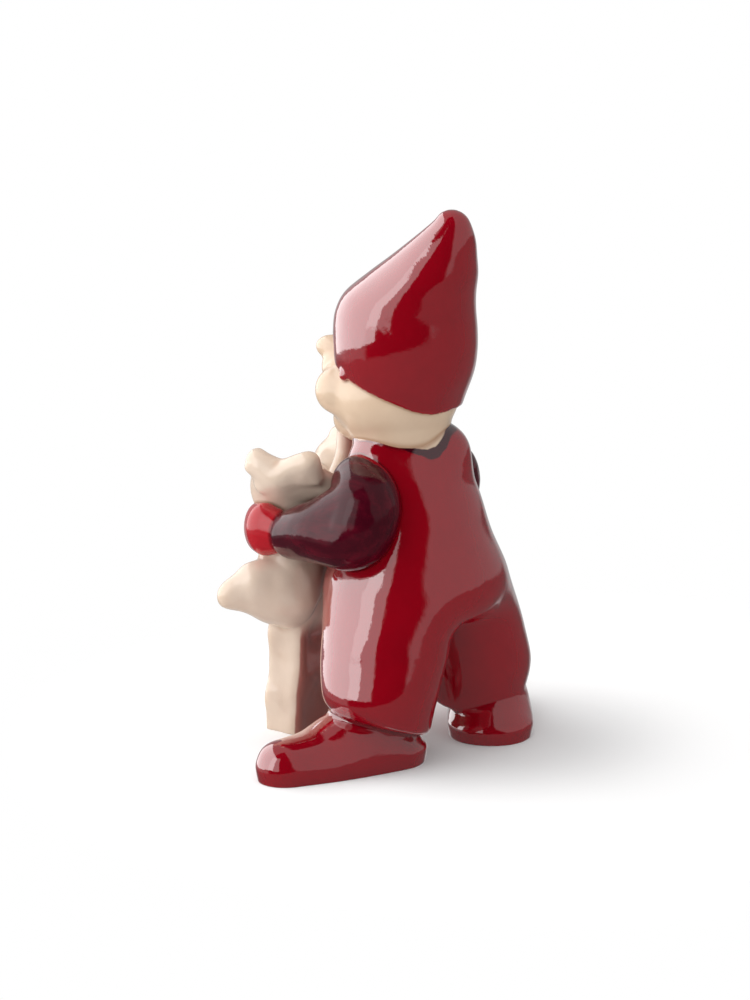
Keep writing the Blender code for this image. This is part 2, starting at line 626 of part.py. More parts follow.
left_leg_hollow = leg_hollow("left_leg_hollow", LEFT_LEG, LEFT_HEEL)
right_leg_hollow = leg_hollow("right_leg_hollow", RIGHT_LEG, RIGHT_HEEL)
star_bore = rod_cutter("star_bore", (0.0, FOOT_CENTRE_Y), VENT_RADIUS, -0.01, STAR_CENTRE.z)
left_vent = rod_cutter("left_vent", LEFT_HEEL, VENT_RADIUS, -0.01, HEM_HEIGHT + 0.01)
right_vent = rod_cutter("right_vent", RIGHT_HEEL, VENT_RADIUS, -0.01, HEM_HEIGHT + 0.01)

# Helpers: neighbours swollen by the clearance
overalls_grown = cutter("overalls_grown", overalls, SWELL)
head_grown = cutter("head_grown", head_clay, SWELL)
nose_grown = cutter("nose_grown", nose_clay, SWELL)
star_grown = cutter("star_grown", star_clay, SWELL)
left_mitten_grown = cutter("left_mitten_grown", left_mitten_clay, SWELL)
right_mitten_grown = cutter("right_mitten_grown", right_mitten_clay, SWELL)

# Sections
sections = [
    section("torso", overalls, RED_GLAZE, [below_hips, above_neck, body_hollow_cutter, neck_bore,
                                           left_leg_hollow, right_leg_hollow]),
    section("left_trouser_leg", overalls, RED_GLAZE, [above_hips, below_left_hem, right_of_middle,
                                                      left_leg_hollow]),
    section("right_trouser_leg", overalls, RED_GLAZE, [above_hips, below_right_hem, left_of_middle,
                                                       right_leg_hollow]),
    section("left_shoe", left_shoe_clay, RED_GLAZE, [below_table, above_left_hem, left_vent]),
    section("right_shoe", right_shoe_clay, RED_GLAZE, [below_table, above_right_hem, right_vent]),
    section("head", head_clay, SKIN_GLAZE, [below_neck, above_brim, head_hollow_cutter, neck_bore]),
    section("hat", hat_clay, RED_GLAZE, [under_brim, hat_hollow_cutter, nose_grown]),
    section("nose", nose_clay, SKIN_GLAZE, [head_grown]),
    section("star", star_clay, CREAM_GLAZE, [below_table, head_grown, overalls_grown, star_bore]),
    section("left_mitten", left_mitten_clay, MITTEN_GLAZE, [star_grown]),
    section("right_mitten", right_mitten_clay, MITTEN_GLAZE, [star_grown]),
    section("left_sleeve", left_sleeve_clay, BURGUNDY_GLAZE, [overalls_grown, head_grown, star_grown,
                                                            left_mitten_grown]),
    section("right_sleeve", right_sleeve_clay, BURGUNDY_GLAZE, [overalls_grown, head_grown, star_grown,
                                                              right_mitten_grown]),
]


def centre_over_origin(items):
    """Stand the sections on the table with their common box centred on the origin."""
    corners = []
    for item in items:
        for vertex in item.data.vertices:
            corners.append(vertex.co)
    middle_x = (min(c.x for c in corners) + max(c.x for c in corners)) / 2.0
    middle_y = (min(c.y for c in corners) + max(c.y for c in corners)) / 2.0
    lowest = min(c.z for c in corners)
    base = bpy.data.objects.new(NAME + "_base", None)
    PARTS.objects.link(base)
    base.location = (-middle_x, -middle_y, -lowest)
    for item in items:
        item.parent = base
    print("origin shift, mm:", [round(1000.0 * value, 3) for value in base.location])


centre_over_origin(sections)
bpy.context.view_layer.update()
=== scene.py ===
"""Looks of the christmas elf figurine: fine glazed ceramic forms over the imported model.

Every cast section is modelled again with a much finer grain, so that the glaze gets its soft rolls and
creases. Most sizes are those of the solids, and a few at the neck, the hips and the shoes differ a little.
Units are metres in the model's frame, and the shapes are first made in the figure's own frame, whose X = 0
is the figure's middle plane. The elf faces -Y and its left hand is on +X.
"""
from math import atan2, cos, degrees, exp, pi, radians, sin, tan

import bmesh
import bpy
import numpy as np
from mathutils import Matrix, Vector, noise
from mathutils.bvhtree import BVHTree


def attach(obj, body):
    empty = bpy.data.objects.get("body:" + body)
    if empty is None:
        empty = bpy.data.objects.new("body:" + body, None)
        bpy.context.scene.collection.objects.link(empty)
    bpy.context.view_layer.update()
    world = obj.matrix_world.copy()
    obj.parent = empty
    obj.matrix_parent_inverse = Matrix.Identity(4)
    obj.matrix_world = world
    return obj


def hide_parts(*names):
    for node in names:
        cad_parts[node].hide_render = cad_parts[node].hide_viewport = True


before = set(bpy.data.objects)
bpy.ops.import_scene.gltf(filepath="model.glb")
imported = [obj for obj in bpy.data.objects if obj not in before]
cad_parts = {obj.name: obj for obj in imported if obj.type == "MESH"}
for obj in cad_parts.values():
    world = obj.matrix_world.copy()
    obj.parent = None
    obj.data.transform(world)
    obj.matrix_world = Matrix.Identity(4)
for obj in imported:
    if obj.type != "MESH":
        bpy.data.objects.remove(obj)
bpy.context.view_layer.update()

# The figure's own frame stands here in the model's frame
FIGURE_SHIFT = Vector((-0.001747, 0.011088, 0.0))
UP = Vector((0.0, 0.0, 1.0))

# Modelling grain
GRAIN = 0.00055          # size of the cells that weld the lumps of one section
CORE_GRAIN = 0.0008
ROUND_SIDES = 96         # points round the rings of the body, neck, legs and hat
BALL_SIDES = 24
TIP_SIDES = 12           # points round the smallest balls
SHOULDER_SIDES = 40
SKULL_SIDES = 48
HAND_DENTS = 0.00012     # height of the soft unevenness left by the maker's hands
DENT_SIZE = 0.010
STAR_DENTS = 0.0017      # the star is more roughly modelled
STAR_DENT_SIZE = 0.013

# Overalls: body and trouser legs
CROTCH_HEIGHT = 0.0365
NECK_HEIGHT = 0.0800     # seam between the body and the head
HIP_WIDTH = 0.0590
BELLY_HEIGHT = 0.0450
BELLY_WIDTH = 0.0550
BELLY_DEPTH = 0.0466
WAIST_HEIGHT = 0.0575
WAIST_WIDTH = 0.0420
WAIST_DEPTH = 0.0372
CHEST_HEIGHT = 0.0700
CHEST_WIDTH = 0.0340
CHEST_DEPTH = 0.0300
NECK_WIDTH = 0.0230
SHOULDER_TOP = Vector((0.0075, -0.0065, 0.0760))
SHOULDER_TOP_RADIUS = 0.0092
NAPE = Vector((-0.0035, 0.0037, 0.0780))
NAPE_RADIUS = 0.0091
NECK_CENTRE_Y = -0.0055
COLLAR_RISE = 0.22       # slope of the collar, higher at the nape
COLLAR_ROLL = 0.09       # slope of the collar, higher on the right
LEG_WIDTH = 0.0306
KNEE_HEIGHT = 0.0190     # where a trouser leg is widest
THIGH_HEIGHT = 0.0285
THIGH_SPREAD = 0.0356    # between the middles of the legs just below the crotch
THIGH_WIDTH = 0.0320
THIGH_DEPTH = 0.0340
HIP_HEIGHT = 0.0352
HIP_SPREAD = 0.0296
HIP_ROUND = 0.0352       # width of one leg where it runs into the hips
THIGH_FOLLOW = 0.55      # share of the foot's way forward or back that the thigh takes
HIP_FOLLOW = 0.30
HEM_HEIGHT = 0.0108      # seam between a trouser leg and its shoe, at the middle of the leg
HEM_TILT = 18.0          # the hem rises towards the toes
HEM_INSET = 0.0018       # a trouser leg narrows by this much at its hem, each side
LEFT_LEG = Vector((0.0210, 0.0014, 0.0))
RIGHT_LEG = Vector((-0.0202, 0.0054, 0.0))

# Shoes
SHOE_LENGTH = 0.0505
HEEL_WIDTH = 0.0235
BALL_WIDTH = 0.0205
TOE_WIDTH = 0.0155
TOE_HEIGHT = 0.0106
INSTEP_HEIGHT = 0.0160
HEEL_HEIGHT = 0.0100
SOLE_EDGE = 0.0012       # the glaze rounds the sole's lower edge by this much
SOLE_SINK = 0.0026       # a shoe reaches this far below the table before it is cut flat there
SHOE_BULGE = 0.0040      # height of a shoe's widest line
SHOE_TOP_WIDTH = 0.90    # half width and height of the rounded top, as shares of half the shoe's width
SHOE_TOP_ROUND = 0.62
LEFT_HEEL = Vector((0.0175, 0.0003, 0.0))
RIGHT_HEEL = Vector((-0.0163, 0.0128, 0.0))
LEFT_TURNOUT = 67.0
RIGHT_TURNOUT = 58.0

# Head and hat
HEAD_CENTRE = Vector((0.0, -0.0072, 0.0945))
HEAD_WIDTH = 0.0340
HEAD_DEPTH = 0.0344
HEAD_HEIGHT = 0.0300
CHEEK_RADIUS = 0.0066
CHEEK_SPREAD = 0.0180
CHIN = Vector((0.0, -0.0092, -0.0080))    # from the head's middle
CHIN_RADII = (0.0100, 0.0078, 0.0066)
NOSE_RADIUS = 0.0034
NOSE_LENGTH = 0.0110
NOSE = Vector((0.0, -0.0186, 0.0094))     # from the head's middle
CHEEK_LIFT = 0.0005      # the cheeks' middles lie this much above the head's middle
INNER_CHEEK = Vector((-0.0015, 0.0, 0.0015))      # from the left cheek's middle
INNER_CHEEK_RADIUS = CHEEK_RADIUS * 0.84
MUZZLE = Vector((0.0, 0.0004, 0.0010))    # from the point between the cheeks, as are both bridges
MUZZLE_RADII = (CHEEK_SPREAD * 0.50, CHEEK_RADIUS * 1.06, CHEEK_RADIUS * 0.90)
NOSE_BRIDGE = Vector((0.0, -0.0044, 0.0046))
NOSE_BRIDGE_RADIUS = 0.0060
CHEEK_BRIDGE = Vector((0.0, -0.0040, 0.0042))
CHEEK_BRIDGE_RADIUS = NOSE_BRIDGE_RADIUS * 0.8
HEAD_TUCK = 0.0012       # the head ends this far above the brim's plane, inside the hat
HAT_WIDTH = 0.0376
HAT_HEIGHT = 0.0484      # from the middle of the brim to the tip
HAT_TIP_RADIUS = 0.0051
HAT_LEAN = 0.0140        # how far the hat leans back from the middle of the brim
TIP_LEAN = 0.71          # where the rounded tip lies, as a share of that
TIP_ANGLES = (25.0, 50.0, 70.0, 86.0)
BRIM_HEIGHT = 0.0954     # middle of the brim above the table
BRIM_TILT = 20.0         # the hat sits lower at the back
BRIM_ROLL = 0.0012
BRIM_POINTS = 72
BRIM_HALVINGS = 24       # steps of the search for the brim's height
BRIM_SAG = 0.0012        # the brim hangs lower behind each ear
SAG_SIDE = 55.0          # degrees from the ear towards the nape
SAG_REACH = 28.0
SAG_FADE = 0.010
DRIP_ANGLE = -31.0       # where a thick drop of glaze hangs at the brim, from the left ear to the nose
DRIP_LIFT = 0.0004
DRIP_RADIUS = 0.0018

# Arms
SHOULDER_HEIGHT = 0.0745
SHOULDER_SPREAD = 0.0300
ELBOW_SPREAD = 0.0470
SLEEVE_WIDTH = 0.0190
CUFF_WIDTH = 0.0136
HAND_HEIGHT = 0.0578
HAND_SPREAD = 0.0400
HAND_REACH = 0.0345      # how far the hands lie in front of the body's middle
MITTEN_LENGTH = 0.0150
MITTEN_WIDTH = 0.0135
RIGHT_ARM_FORWARD = 0.003        # the right elbow lies this much further forward than the left one
RIGHT_ARM_LIFT = 0.0006          # and the right shoulder this much higher
FINGERS = Vector((-0.0030, -0.0042, -0.0006))     # from the left palm's middle

# Star, given for its left half; the right half mirrors it, but for a sharper corner on its upper ray
STAR_CENTRE = Vector((0.0, -0.0330, 0.0570))
STAR_THICKNESS = 0.0155
STAR_HUB_WIDTH = 0.0280
UPPER_RAY = Vector((0.0220, -0.0380, 0.0775))
UPPER_RAY_BACK = Vector((0.0190, -0.0232, 0.0770))
LOWER_RAY = Vector((0.0241, -0.0440, 0.0390))
TOP_RAY = Vector((0.0, -0.0205, 0.0850))
FOOT_WIDTH = 0.0240
FOOT_DEPTH = 0.0118
FOOT_CENTRE_Y = -0.0363
FOOT_LEAN = 0.0038       # how far the foot leans back from the table up to the hub
RAY_TIP_RADIUS = 0.0018
SOFT_EDGE = 0.0022       # radius of the foot's long edges

# Smoothing of each section
CORE_SOFTNESS = 0.0026
BODY_SOFTNESS = 0.0021
HEAD_SOFTNESS = 0.0020
NOSE_SOFTNESS = 0.0014
HAT_SOFTNESS = 0.0015
BRIM_SOFTNESS = 0.0009
STAR_SOFTNESS = 0.0016
SLEEVE_SOFTNESS = 0.0013
SMALL_SOFTNESS = 0.0011

# Glaze
GLAZE_IOR = 1.9
THIN_GLAZE_IOR = 1.5
BRUSHED_IOR = 1.45
COAT_ROUGHNESS = 0.03
GLOSSY = 0.08            # roughness of the red glaze
SATIN = 0.12             # of the sleeves and mittens
SEMI_GLOSS = 0.22        # of the pale glazes
RED = (0.300, 0.0008, 0.0080)
RED_THIN = (0.360, 0.0030, 0.0110)
RED_THICK = (0.140, 0.0008, 0.0050)
BURGUNDY = (0.048, 0.0015, 0.0070)
BURGUNDY_THIN = (0.095, 0.0025, 0.0110)
MITTEN_RED = (0.430, 0.0100, 0.0180)
MITTEN_THIN = (0.560, 0.0400, 0.0500)
# Red-brown painted onto the cream star as reflected light and shade from the red overalls
PAINTED_RED_BOUNCE = (0.300, 0.0400, 0.0350)
CREAM = (0.800, 0.645, 0.520)
CREAM_THIN = (0.780, 0.600, 0.460)
CREAM_THICK = (0.560, 0.350, 0.230)
SKIN = (0.760, 0.570, 0.410)
SKIN_THIN = (0.780, 0.600, 0.440)
SKIN_THICK = (0.520, 0.300, 0.180)
MOTTLE_SIZE = 0.006
MOTTLE = 0.12
WAVE_SIZE = 0.009
WAVE_HEIGHT = 0.00018
RIPPLE_SIZE = 0.0022
RIPPLE_HEIGHT = 0.00004
PIT_SPACING = 0.0045
PIT_RADIUS = 0.00012
PIT_DEPTH = 0.00004
RIDGE_BEND = (0.16, 0.75)        # where the glaze starts to thin on a ridge, and where it is thinnest
CREASE_BEND = (-0.10, -0.55)     # where it starts to pool in a crease, and where it is thickest
POOL_NEAR = (0.35, 0.95)         # the same for pooling beside another piece
MOTTLE_SPAN = (0.35, 0.72)
THINNING = 0.75
POOLING = 0.85
LINE_WOBBLE_SIZE = 0.004         # unevenness of the painted line round the neck
LINE_WOBBLE = 0.0010
COLLAR_EDGE = 0.0005
SKIN_EDGE = 0.0004
STREAK_SIZE = 0.0040
STREAK_STRETCH = (1.6, 0.25, 1.0)
STREAK_ROUGHNESS = 0.6
STREAK_SPAN = (0.40, 0.75)
BLEED_WOBBLE_SIZE = 0.003
BLEED_WOBBLE = 0.35
BLEED_SPAN = (0.62, 0.86)
BRUSHED_RIDGE = (0.2, 0.8)
BRUSHED_THINNING = 0.4
# Span and strength of the star's painted red reflected light and shade
RED_BOUNCE_SPAN = (0.35, 0.95)
RED_BOUNCE_STRENGTH = 0.8
PALE_WAVINESS = 1.3
POOL_REACH = 0.0012
BLEED_REACH = 0.0030
# How far the star's painted red reflected light and shade reach from the overalls, and where the back of its
# foot gets them
RED_BOUNCE_REACH = 0.0090
FOOT_BOUNCE_FACING = 0.25
FOOT_BOUNCE_TOP = 0.036
FOOT_BOUNCE_FADE = 0.010
BEND_BLUR = 6
# Where the head's colour meets the overalls, round the neck: degrees from the left ear towards the nape,
# height above the table in millimetres, and width of the burgundy collar below it in millimetres
NECK_LINE = (
    (-180, 83.8, 0.0),
    (-90, 82.8, 0.0),
    (-20, 83.0, 0.0),
    (3, 84.0, 0.0),
    (20, 83.3, 0.1),
    (45, 81.9, 1.2),
    (64, 81.3, 2.4),
    (73, 81.9, 2.7),
    (84, 84.0, 2.2),
    (92, 85.4, 1.7),
    (101, 86.2, 1.5),
    (125, 86.4, 1.5),
    (150, 85.6, 1.3),
    (172, 84.2, 0.0),
    (180, 83.8, 0.0),
)

# View
VIEW_AZIMUTH = 122.0
VIEW_ELEVATION = 14.0
VIEW_DISTANCE = 1.1
AIM_HEIGHT = 0.066
AIM_SIDE = -0.0112
LENS = 151.7

# Light. Angles round the figure are degrees to the camera's right
LAMP_AIM_HEIGHT = 0.07
LEFT_BRIGHTNESS = 1.60
TOP_BRIGHTNESS = 0.8
ROOM_BRIGHTNESS = 0.27
GROUND_BRIGHTNESS = 0.10
FILL_BRIGHTNESS = 0.68   # what the room gives to matt surfaces
DARK_LEFT = -66.0        # the dark part behind the camera
DARK_RIGHT = 39.0
DARK_LEAN = 0.38         # its right edge leans to the left above the horizon
DARK_EDGE = 4.0
HORIZON = -0.156         # height of the dark part's lower edge, as the sine of its angle
HORIZON_EDGE = 0.02
HORIZON_TILT = 10.4      # that edge lies lower on the left, in degrees
WINDOW_LEFT = -66.0      # the near end of the soft box, which only the glaze sees
WINDOW_LEFT_EDGE = 1.0
WINDOW_RIGHT = -23.0
WINDOW_LOW = 1.0         # degrees above the table, as the next one
WINDOW_HIGH = 46.0
WINDOW_EDGE = 0.02
WINDOW_BRIGHTNESS = 0.64
PAPER_START = 140.0      # white paper behind the figure, which the glaze sees at its edges
PAPER_FULL = 160.0
PAPER_TOP = 22.0         # degrees above the table at which the paper ends
PAPER_FULL_TOP = 8.0
PAPER_BRIGHTNESS = 0.42

# Floor
FLOOR_SIZE = 6.0
FLOOR_COLOUR = (0.86, 0.86, 0.86)
FLOOR_SEEN = (1.07, 1.07, 1.07)
# The floor's colour in the middle of a soft shadow painted onto it beside the figure
PAINTED_SHADOW_TONE = (0.88, 0.88, 0.88)
PAINTED_SHADOW_SIDE = 0.029       # the middle of the shadow painted onto the floor, to the camera's right
PAINTED_SHADOW_SOLID = 0.018
PAINTED_SHADOW_END = 0.062
FLOOR_MIDDLE_SIDE = 0.05
FLOOR_SOLID = 0.05       # the floor fades into the white background from here
FLOOR_END = 0.155


def mirrored(place, side):
    """A place given on the left: side is +1 to keep it there and -1 for its mirror image on the right."""
    return Vector((side * place.x, place.y, place.z))


def ball(centre, radii, sides=BALL_SIDES):
    """Points on an ellipsoid. One number gives a sphere."""
    if isinstance(radii, float):
        radii = (radii, radii, radii)
    shape = bmesh.new()
    bmesh.ops.create_uvsphere(shape, u_segments=sides, v_segments=sides // 2, radius=1.0)
    points = [Vector(centre) + Vector([a * b for a, b in zip(vertex.co, radii)]) for vertex in shape.verts]
    shape.free()
    return points


def ring(centre, half_width, half_depth, sides=40):
    """Points on a level ellipse."""
    points = []
    for step in range(sides):
        angle = 2.0 * pi * step / sides
        points.append(Vector((centre[0] + half_width * cos(angle),
                              centre[1] + half_depth * sin(angle), centre[2])))
    return points


def hull(points):
    """The tightest convex lump round some points."""
    shape = bmesh.new()
    for point in points:
        shape.verts.new(point)
    result = bmesh.ops.convex_hull(shape, input=shape.verts)
    inside = [item for item in result["geom_interior"] if isinstance(item, bmesh.types.BMVert)]
    bmesh.ops.delete(shape, geom=inside, context='VERTS')
    bmesh.ops.recalc_face_normals(shape, faces=shape.faces)
    mesh = bpy.data.meshes.new("lump")
    shape.to_mesh(mesh)
    shape.free()
    return mesh


def between(before, start, end, after, part):
    """A smooth curve through start and end, at a share of the way between them, of numbers or vectors."""
    slope_in = (end - before) * 0.5
    slope_out = (after - start) * 0.5
    square = part * part
    cube = square * part
    return (start * (2.0 * cube - 3.0 * square + 1.0) + slope_in * (cube - 2.0 * square + part)
            + end * (3.0 * square - 2.0 * cube) + slope_out * (cube - square))


def finer(stations, steps):
    """Rows of equally many numbers or vectors, with more rows on a smooth curve in between."""
    rows = [stations[0]] + list(stations) + [stations[-1]]
    result = []
    for index in range(1, len(rows) - 2):
        for step in range(steps):
            near = rows[index - 1:index + 3]
            result.append([between(*values, step / steps) for values in zip(*near)])
    result.append(list(stations[-1]))
    return result


def loft(rings, steps=6):
    """A closed tube through rings of equally many points, smooth from ring to ring."""
    rows = finer(rings, steps)
    sides = len(rows[0])
    shape = bmesh.new()
    vertices = [[shape.verts.new(point) for point in row] for row in rows]
    for lower, upper in zip(vertices, vertices[1:]):
        for side in range(sides):
            following = (side + 1) % sides
            shape.faces.new((lower[side], lower[following], upper[following], upper[side]))
    shape.faces.new(reversed(vertices[0]))
    shape.faces.new(vertices[-1])
    mesh = bpy.data.meshes.new("lump")
    shape.to_mesh(mesh)
    shape.free()
    return mesh


def limb(stations, steps=4):
    """A smooth limb through balls, each given by its centre and radius."""
    rows = finer(stations, steps)
    lumps = []
    for (here, radius), (there, next_radius) in zip(rows, rows[1:]):
        lumps.append(hull(ball(here, radius) + ball(there, next_radius)))
    return lumps


def roll(line, radius):
    """A thin roll of clay along a closed line of points."""
    lumps = []
    for here, there in zip(line, line[1:] + line[:1]):
        lumps.append(hull(ball(here, radius, 8) + ball(there, radius, 8)))
    return lumps


def turned_out(side, turnout):
    """Level direction of a foot: side is +1 for the left and -1 for the right."""
    angle = radians(turnout)
    return Vector((side * sin(angle), -cos(angle), 0.0))


def fine_clay(name, lumps, softness, grain=GRAIN):
    """Weld overlapping lumps into one soft, fine, closed piece, moved into the model's frame."""
    joined = bmesh.new()
    for lump in lumps:
        joined.from_mesh(lump)
    mesh = bpy.data.meshes.new(name + "_lumps")
    joined.to_mesh(mesh)
    joined.free()
    item = bpy.data.objects.new(name, mesh)
    bpy.context.scene.collection.objects.link(item)
    weld = item.modifiers.new("weld", 'REMESH')
    weld.mode = 'VOXEL'
    weld.voxel_size = grain
    soften = item.modifiers.new("soften", 'SMOOTH')
    soften.factor = 0.5
    soften.iterations = round(2.0 * (softness / grain) ** 2)
    bpy.context.view_layer.update()
    evaluated = item.evaluated_get(bpy.context.evaluated_depsgraph_get())
    fine = bpy.data.meshes.new_from_object(evaluated)
    fine.name = name
    item.modifiers.clear()
    item.data = fine
    fine.transform(Matrix.Translation(FIGURE_SHIFT))
    fine.shade_smooth()
    return item


def rows_of(items, field, width, kind=float):
    """One row of numbers for each vertex or edge of a mesh."""
    values = np.empty(len(items) * width, dtype=kind)
    items.foreach_get(field, values)
    return values.reshape(-1, width)


def dent(item, height, size):
    """Soft unevenness left by the maker's hands: the surface moves in and out by up to height."""
    normals = [vertex.normal.copy() for vertex in item.data.vertices]
    for vertex, normal in zip(item.data.vertices, normals):
        vertex.co += normal * height * noise.noise(vertex.co / size)
    item.data.update()


def cut_off_below(item, plane_point, plane_normal):
    """Remove what lies below a plane and close the cut."""
    shape = bmesh.new()
    shape.from_mesh(item.data)
    geometry = list(shape.verts) + list(shape.edges) + list(shape.faces)
    result = bmesh.ops.bisect_plane(shape, geom=geometry, plane_co=plane_point, plane_no=plane_normal,
                                    clear_inner=True)
    rim = [part for part in result["geom_cut"] if isinstance(part, bmesh.types.BMEdge)]
    bmesh.ops.holes_fill(shape, edges=rim, sides=0)
    shape.to_mesh(item.data)
    shape.free()
    item.data.shade_smooth()


# Overalls: the body and two legs that spread into it at the hips
def tilted(points, share, middle_y):
    """Tip a level outline by a share of the collar's tilt: higher at the back and on the right."""
    for point in points:
        point.z += share * (COLLAR_RISE * (point.y - middle_y) - COLLAR_ROLL * point.x)
    return points


def body_rings():
    """Outlines of the body, each from its height, middle, width, depth and share of the collar's tilt."""
    outlines = (
        (CROTCH_HEIGHT + 0.0010, 0.0004, HIP_WIDTH * 0.80, BELLY_DEPTH * 0.86, 0.0),
        (BELLY_HEIGHT, -0.0004, BELLY_WIDTH, BELLY_DEPTH, 0.0),
        (WAIST_HEIGHT, 0.0001, WAIST_WIDTH, WAIST_DEPTH, 0.0),
        (CHEST_HEIGHT, -0.0010, CHEST_WIDTH, CHEST_DEPTH, 0.4),
        (NECK_HEIGHT + 0.0015, NECK_CENTRE_Y, NECK_WIDTH * 1.10, NECK_WIDTH * 1.10, 0.0),
        (NECK_HEIGHT + 0.0065, NECK_CENTRE_Y, NECK_WIDTH * 1.12, NECK_WIDTH * 1.12, 0.0),
    )
    return [tilted(ring((0.0, middle, height), width / 2.0, depth / 2.0, ROUND_SIDES), share, middle)
            for height, middle, width, depth, share in outlines]


def hem_plane(foot, heel_to_toe):
    """The tilted plane of a trouser hem."""
    across = UP.cross(heel_to_toe)
    return (Matrix.Translation((foot.x, foot.y, HEM_HEIGHT))
            @ Matrix.Rotation(-radians(HEM_TILT), 4, across))


def leg_lump(side, foot, heel_to_toe):
    """One trouser leg from its hem up into the hips."""
    half = LEG_WIDTH / 2.0
    hem_half = half - HEM_INSET
    plane = hem_plane(foot, heel_to_toe)
    hem = [plane @ point for point in ring((0.0, 0.0, 0.0), hem_half, hem_half, ROUND_SIDES)]
    knee = ring((foot.x, foot.y, KNEE_HEIGHT), half, half, ROUND_SIDES)
    thigh = ring((side * THIGH_SPREAD / 2.0, foot.y * THIGH_FOLLOW, THIGH_HEIGHT), THIGH_WIDTH / 2.0,
                 THIGH_DEPTH / 2.0, ROUND_SIDES)
    hip = ring((side * HIP_SPREAD / 2.0, foot.y * HIP_FOLLOW, HIP_HEIGHT), HIP_ROUND / 2.0, HIP_ROUND / 2.0,
               ROUND_SIDES)
    return loft([hem, knee, thigh, hip, body_rings()[1]], 8)


def shoulder_lump():
    """Chest, nape and both shoulder tops in one."""
    points = body_rings()[3] + ball(NAPE, NAPE_RADIUS, SHOULDER_SIDES)
    for side in (-1, 1):
        points += ball(mirrored(SHOULDER_TOP, side), SHOULDER_TOP_RADIUS, SHOULDER_SIDES)
    return hull(points)


LEFT_TOE_WAY = turned_out(1, LEFT_TURNOUT)
RIGHT_TOE_WAY = turned_out(-1, RIGHT_TURNOUT)
core_lumps = [loft(body_rings(), 8), leg_lump(1, LEFT_LEG, LEFT_TOE_WAY),
              leg_lump(-1, RIGHT_LEG, RIGHT_TOE_WAY), shoulder_lump()]

# Head: ball, cheeks, muzzle, chin and neck. Rings of the neck: middle, height, half width and half depth
NECK_RINGS = (
    (NECK_CENTRE_Y, NECK_HEIGHT - 0.0040, NECK_WIDTH * 0.45, NECK_WIDTH * 0.45),
    (NECK_CENTRE_Y, NECK_HEIGHT + 0.0042, NECK_WIDTH * 0.575, NECK_WIDTH * 0.575),
    (HEAD_CENTRE.y, HEAD_CENTRE.z - 0.0040, HEAD_WIDTH * 0.42, HEAD_DEPTH * 0.42),
)
between_cheeks = Vector((0.0, HEAD_CENTRE.y - HEAD_DEPTH / 2.0 + CHEEK_RADIUS * 0.90, HEAD_CENTRE.z))
muzzle = ball(between_cheeks + MUZZLE, MUZZLE_RADII)
nose_bridge = ball(between_cheeks + NOSE_BRIDGE, NOSE_BRIDGE_RADIUS)
head_lumps = [
    hull(ball(HEAD_CENTRE, (HEAD_WIDTH / 2.0, HEAD_DEPTH / 2.0, HEAD_HEIGHT / 2.0), SKULL_SIDES)),
    hull(muzzle + nose_bridge),
    hull(ball(HEAD_CENTRE + CHIN, CHIN_RADII)),
    loft([ring((0.0, middle, height), half_width, half_depth, ROUND_SIDES)
          for middle, height, half_width, half_depth in NECK_RINGS]),
]
for side in (-1, 1):
    cheek = Vector((side * CHEEK_SPREAD / 2.0, between_cheeks.y, between_cheeks.z + CHEEK_LIFT))
    inner_cheek = ball(cheek + mirrored(INNER_CHEEK, side), INNER_CHEEK_RADIUS)
    head_lumps.append(hull(ball(cheek, CHEEK_RADIUS)))
    head_lumps.append(hull(inner_cheek + ball(between_cheeks + CHEEK_BRIDGE, CHEEK_BRIDGE_RADIUS)))

# Hat: stations from the brim to the tip, as shares of its height, width and lean
HAT_STATIONS = (
    (-0.18, -0.36, 0.745),
    (-0.02, -0.34, 0.865),
    (0.12, -0.29, 0.965),
    (0.24, -0.28, 1.002),
    (0.34, -0.28, 0.996),
    (0.43, -0.27, 0.968),
    (0.53, -0.17, 0.905),
    (0.64, 0.11, 0.755),
    (0.74, 0.34, 0.588),
    (0.84, 0.55, 0.428),
)


def hat_rings():
    """Rings of the hat from below the brim up to the rounded tip."""
    rings = []
    for height, lean, width in HAT_STATIONS:
        radius = HAT_WIDTH / 2.0 * width
        rings.append(ring((0.0, HAT_LEAN * lean, BRIM_HEIGHT + HAT_HEIGHT * height), radius, radius,
                          ROUND_SIDES))
    for slope in TIP_ANGLES:
        rise = HAT_TIP_RADIUS * sin(radians(slope))
        radius = HAT_TIP_RADIUS * cos(radians(slope))
        rings.append(ring((0.0, HAT_LEAN * TIP_LEAN, BRIM_HEIGHT + HAT_HEIGHT - HAT_TIP_RADIUS + rise),
                          radius, radius, ROUND_SIDES))
    return rings


def hat_station(share):
    """Lean and radius of the hat at a share of its height."""
    heights, leans, widths = zip(*HAT_STATIONS)
    return HAT_LEAN * np.interp(share, heights, leans), HAT_WIDTH / 2.0 * np.interp(share, heights, widths)


def brim_point(angle, inset, lift):
    """Where the hat's wall meets the brim's plane, at an angle round the hat."""
    low = HAT_STATIONS[0][0]
    high = HAT_STATIONS[4][0]
    for _ in range(BRIM_HALVINGS):
        share = (low + high) / 2.0
        lean, radius = hat_station(share)
        y = lean + (radius - inset) * sin(angle)
        if HAT_HEIGHT * share > -y * tan(radians(BRIM_TILT)):
            high = share
        else:
            low = share
    return Vector(((radius - inset) * cos(angle), y, BRIM_HEIGHT + HAT_HEIGHT * share + lift))


# Sleeves and mittens
ELBOW = Vector((ELBOW_SPREAD / 2.0, -0.0050, HAND_HEIGHT + 0.0030))
WRIST = Vector((HAND_SPREAD / 2.0, -HAND_REACH + MITTEN_LENGTH * 0.62, HAND_HEIGHT))
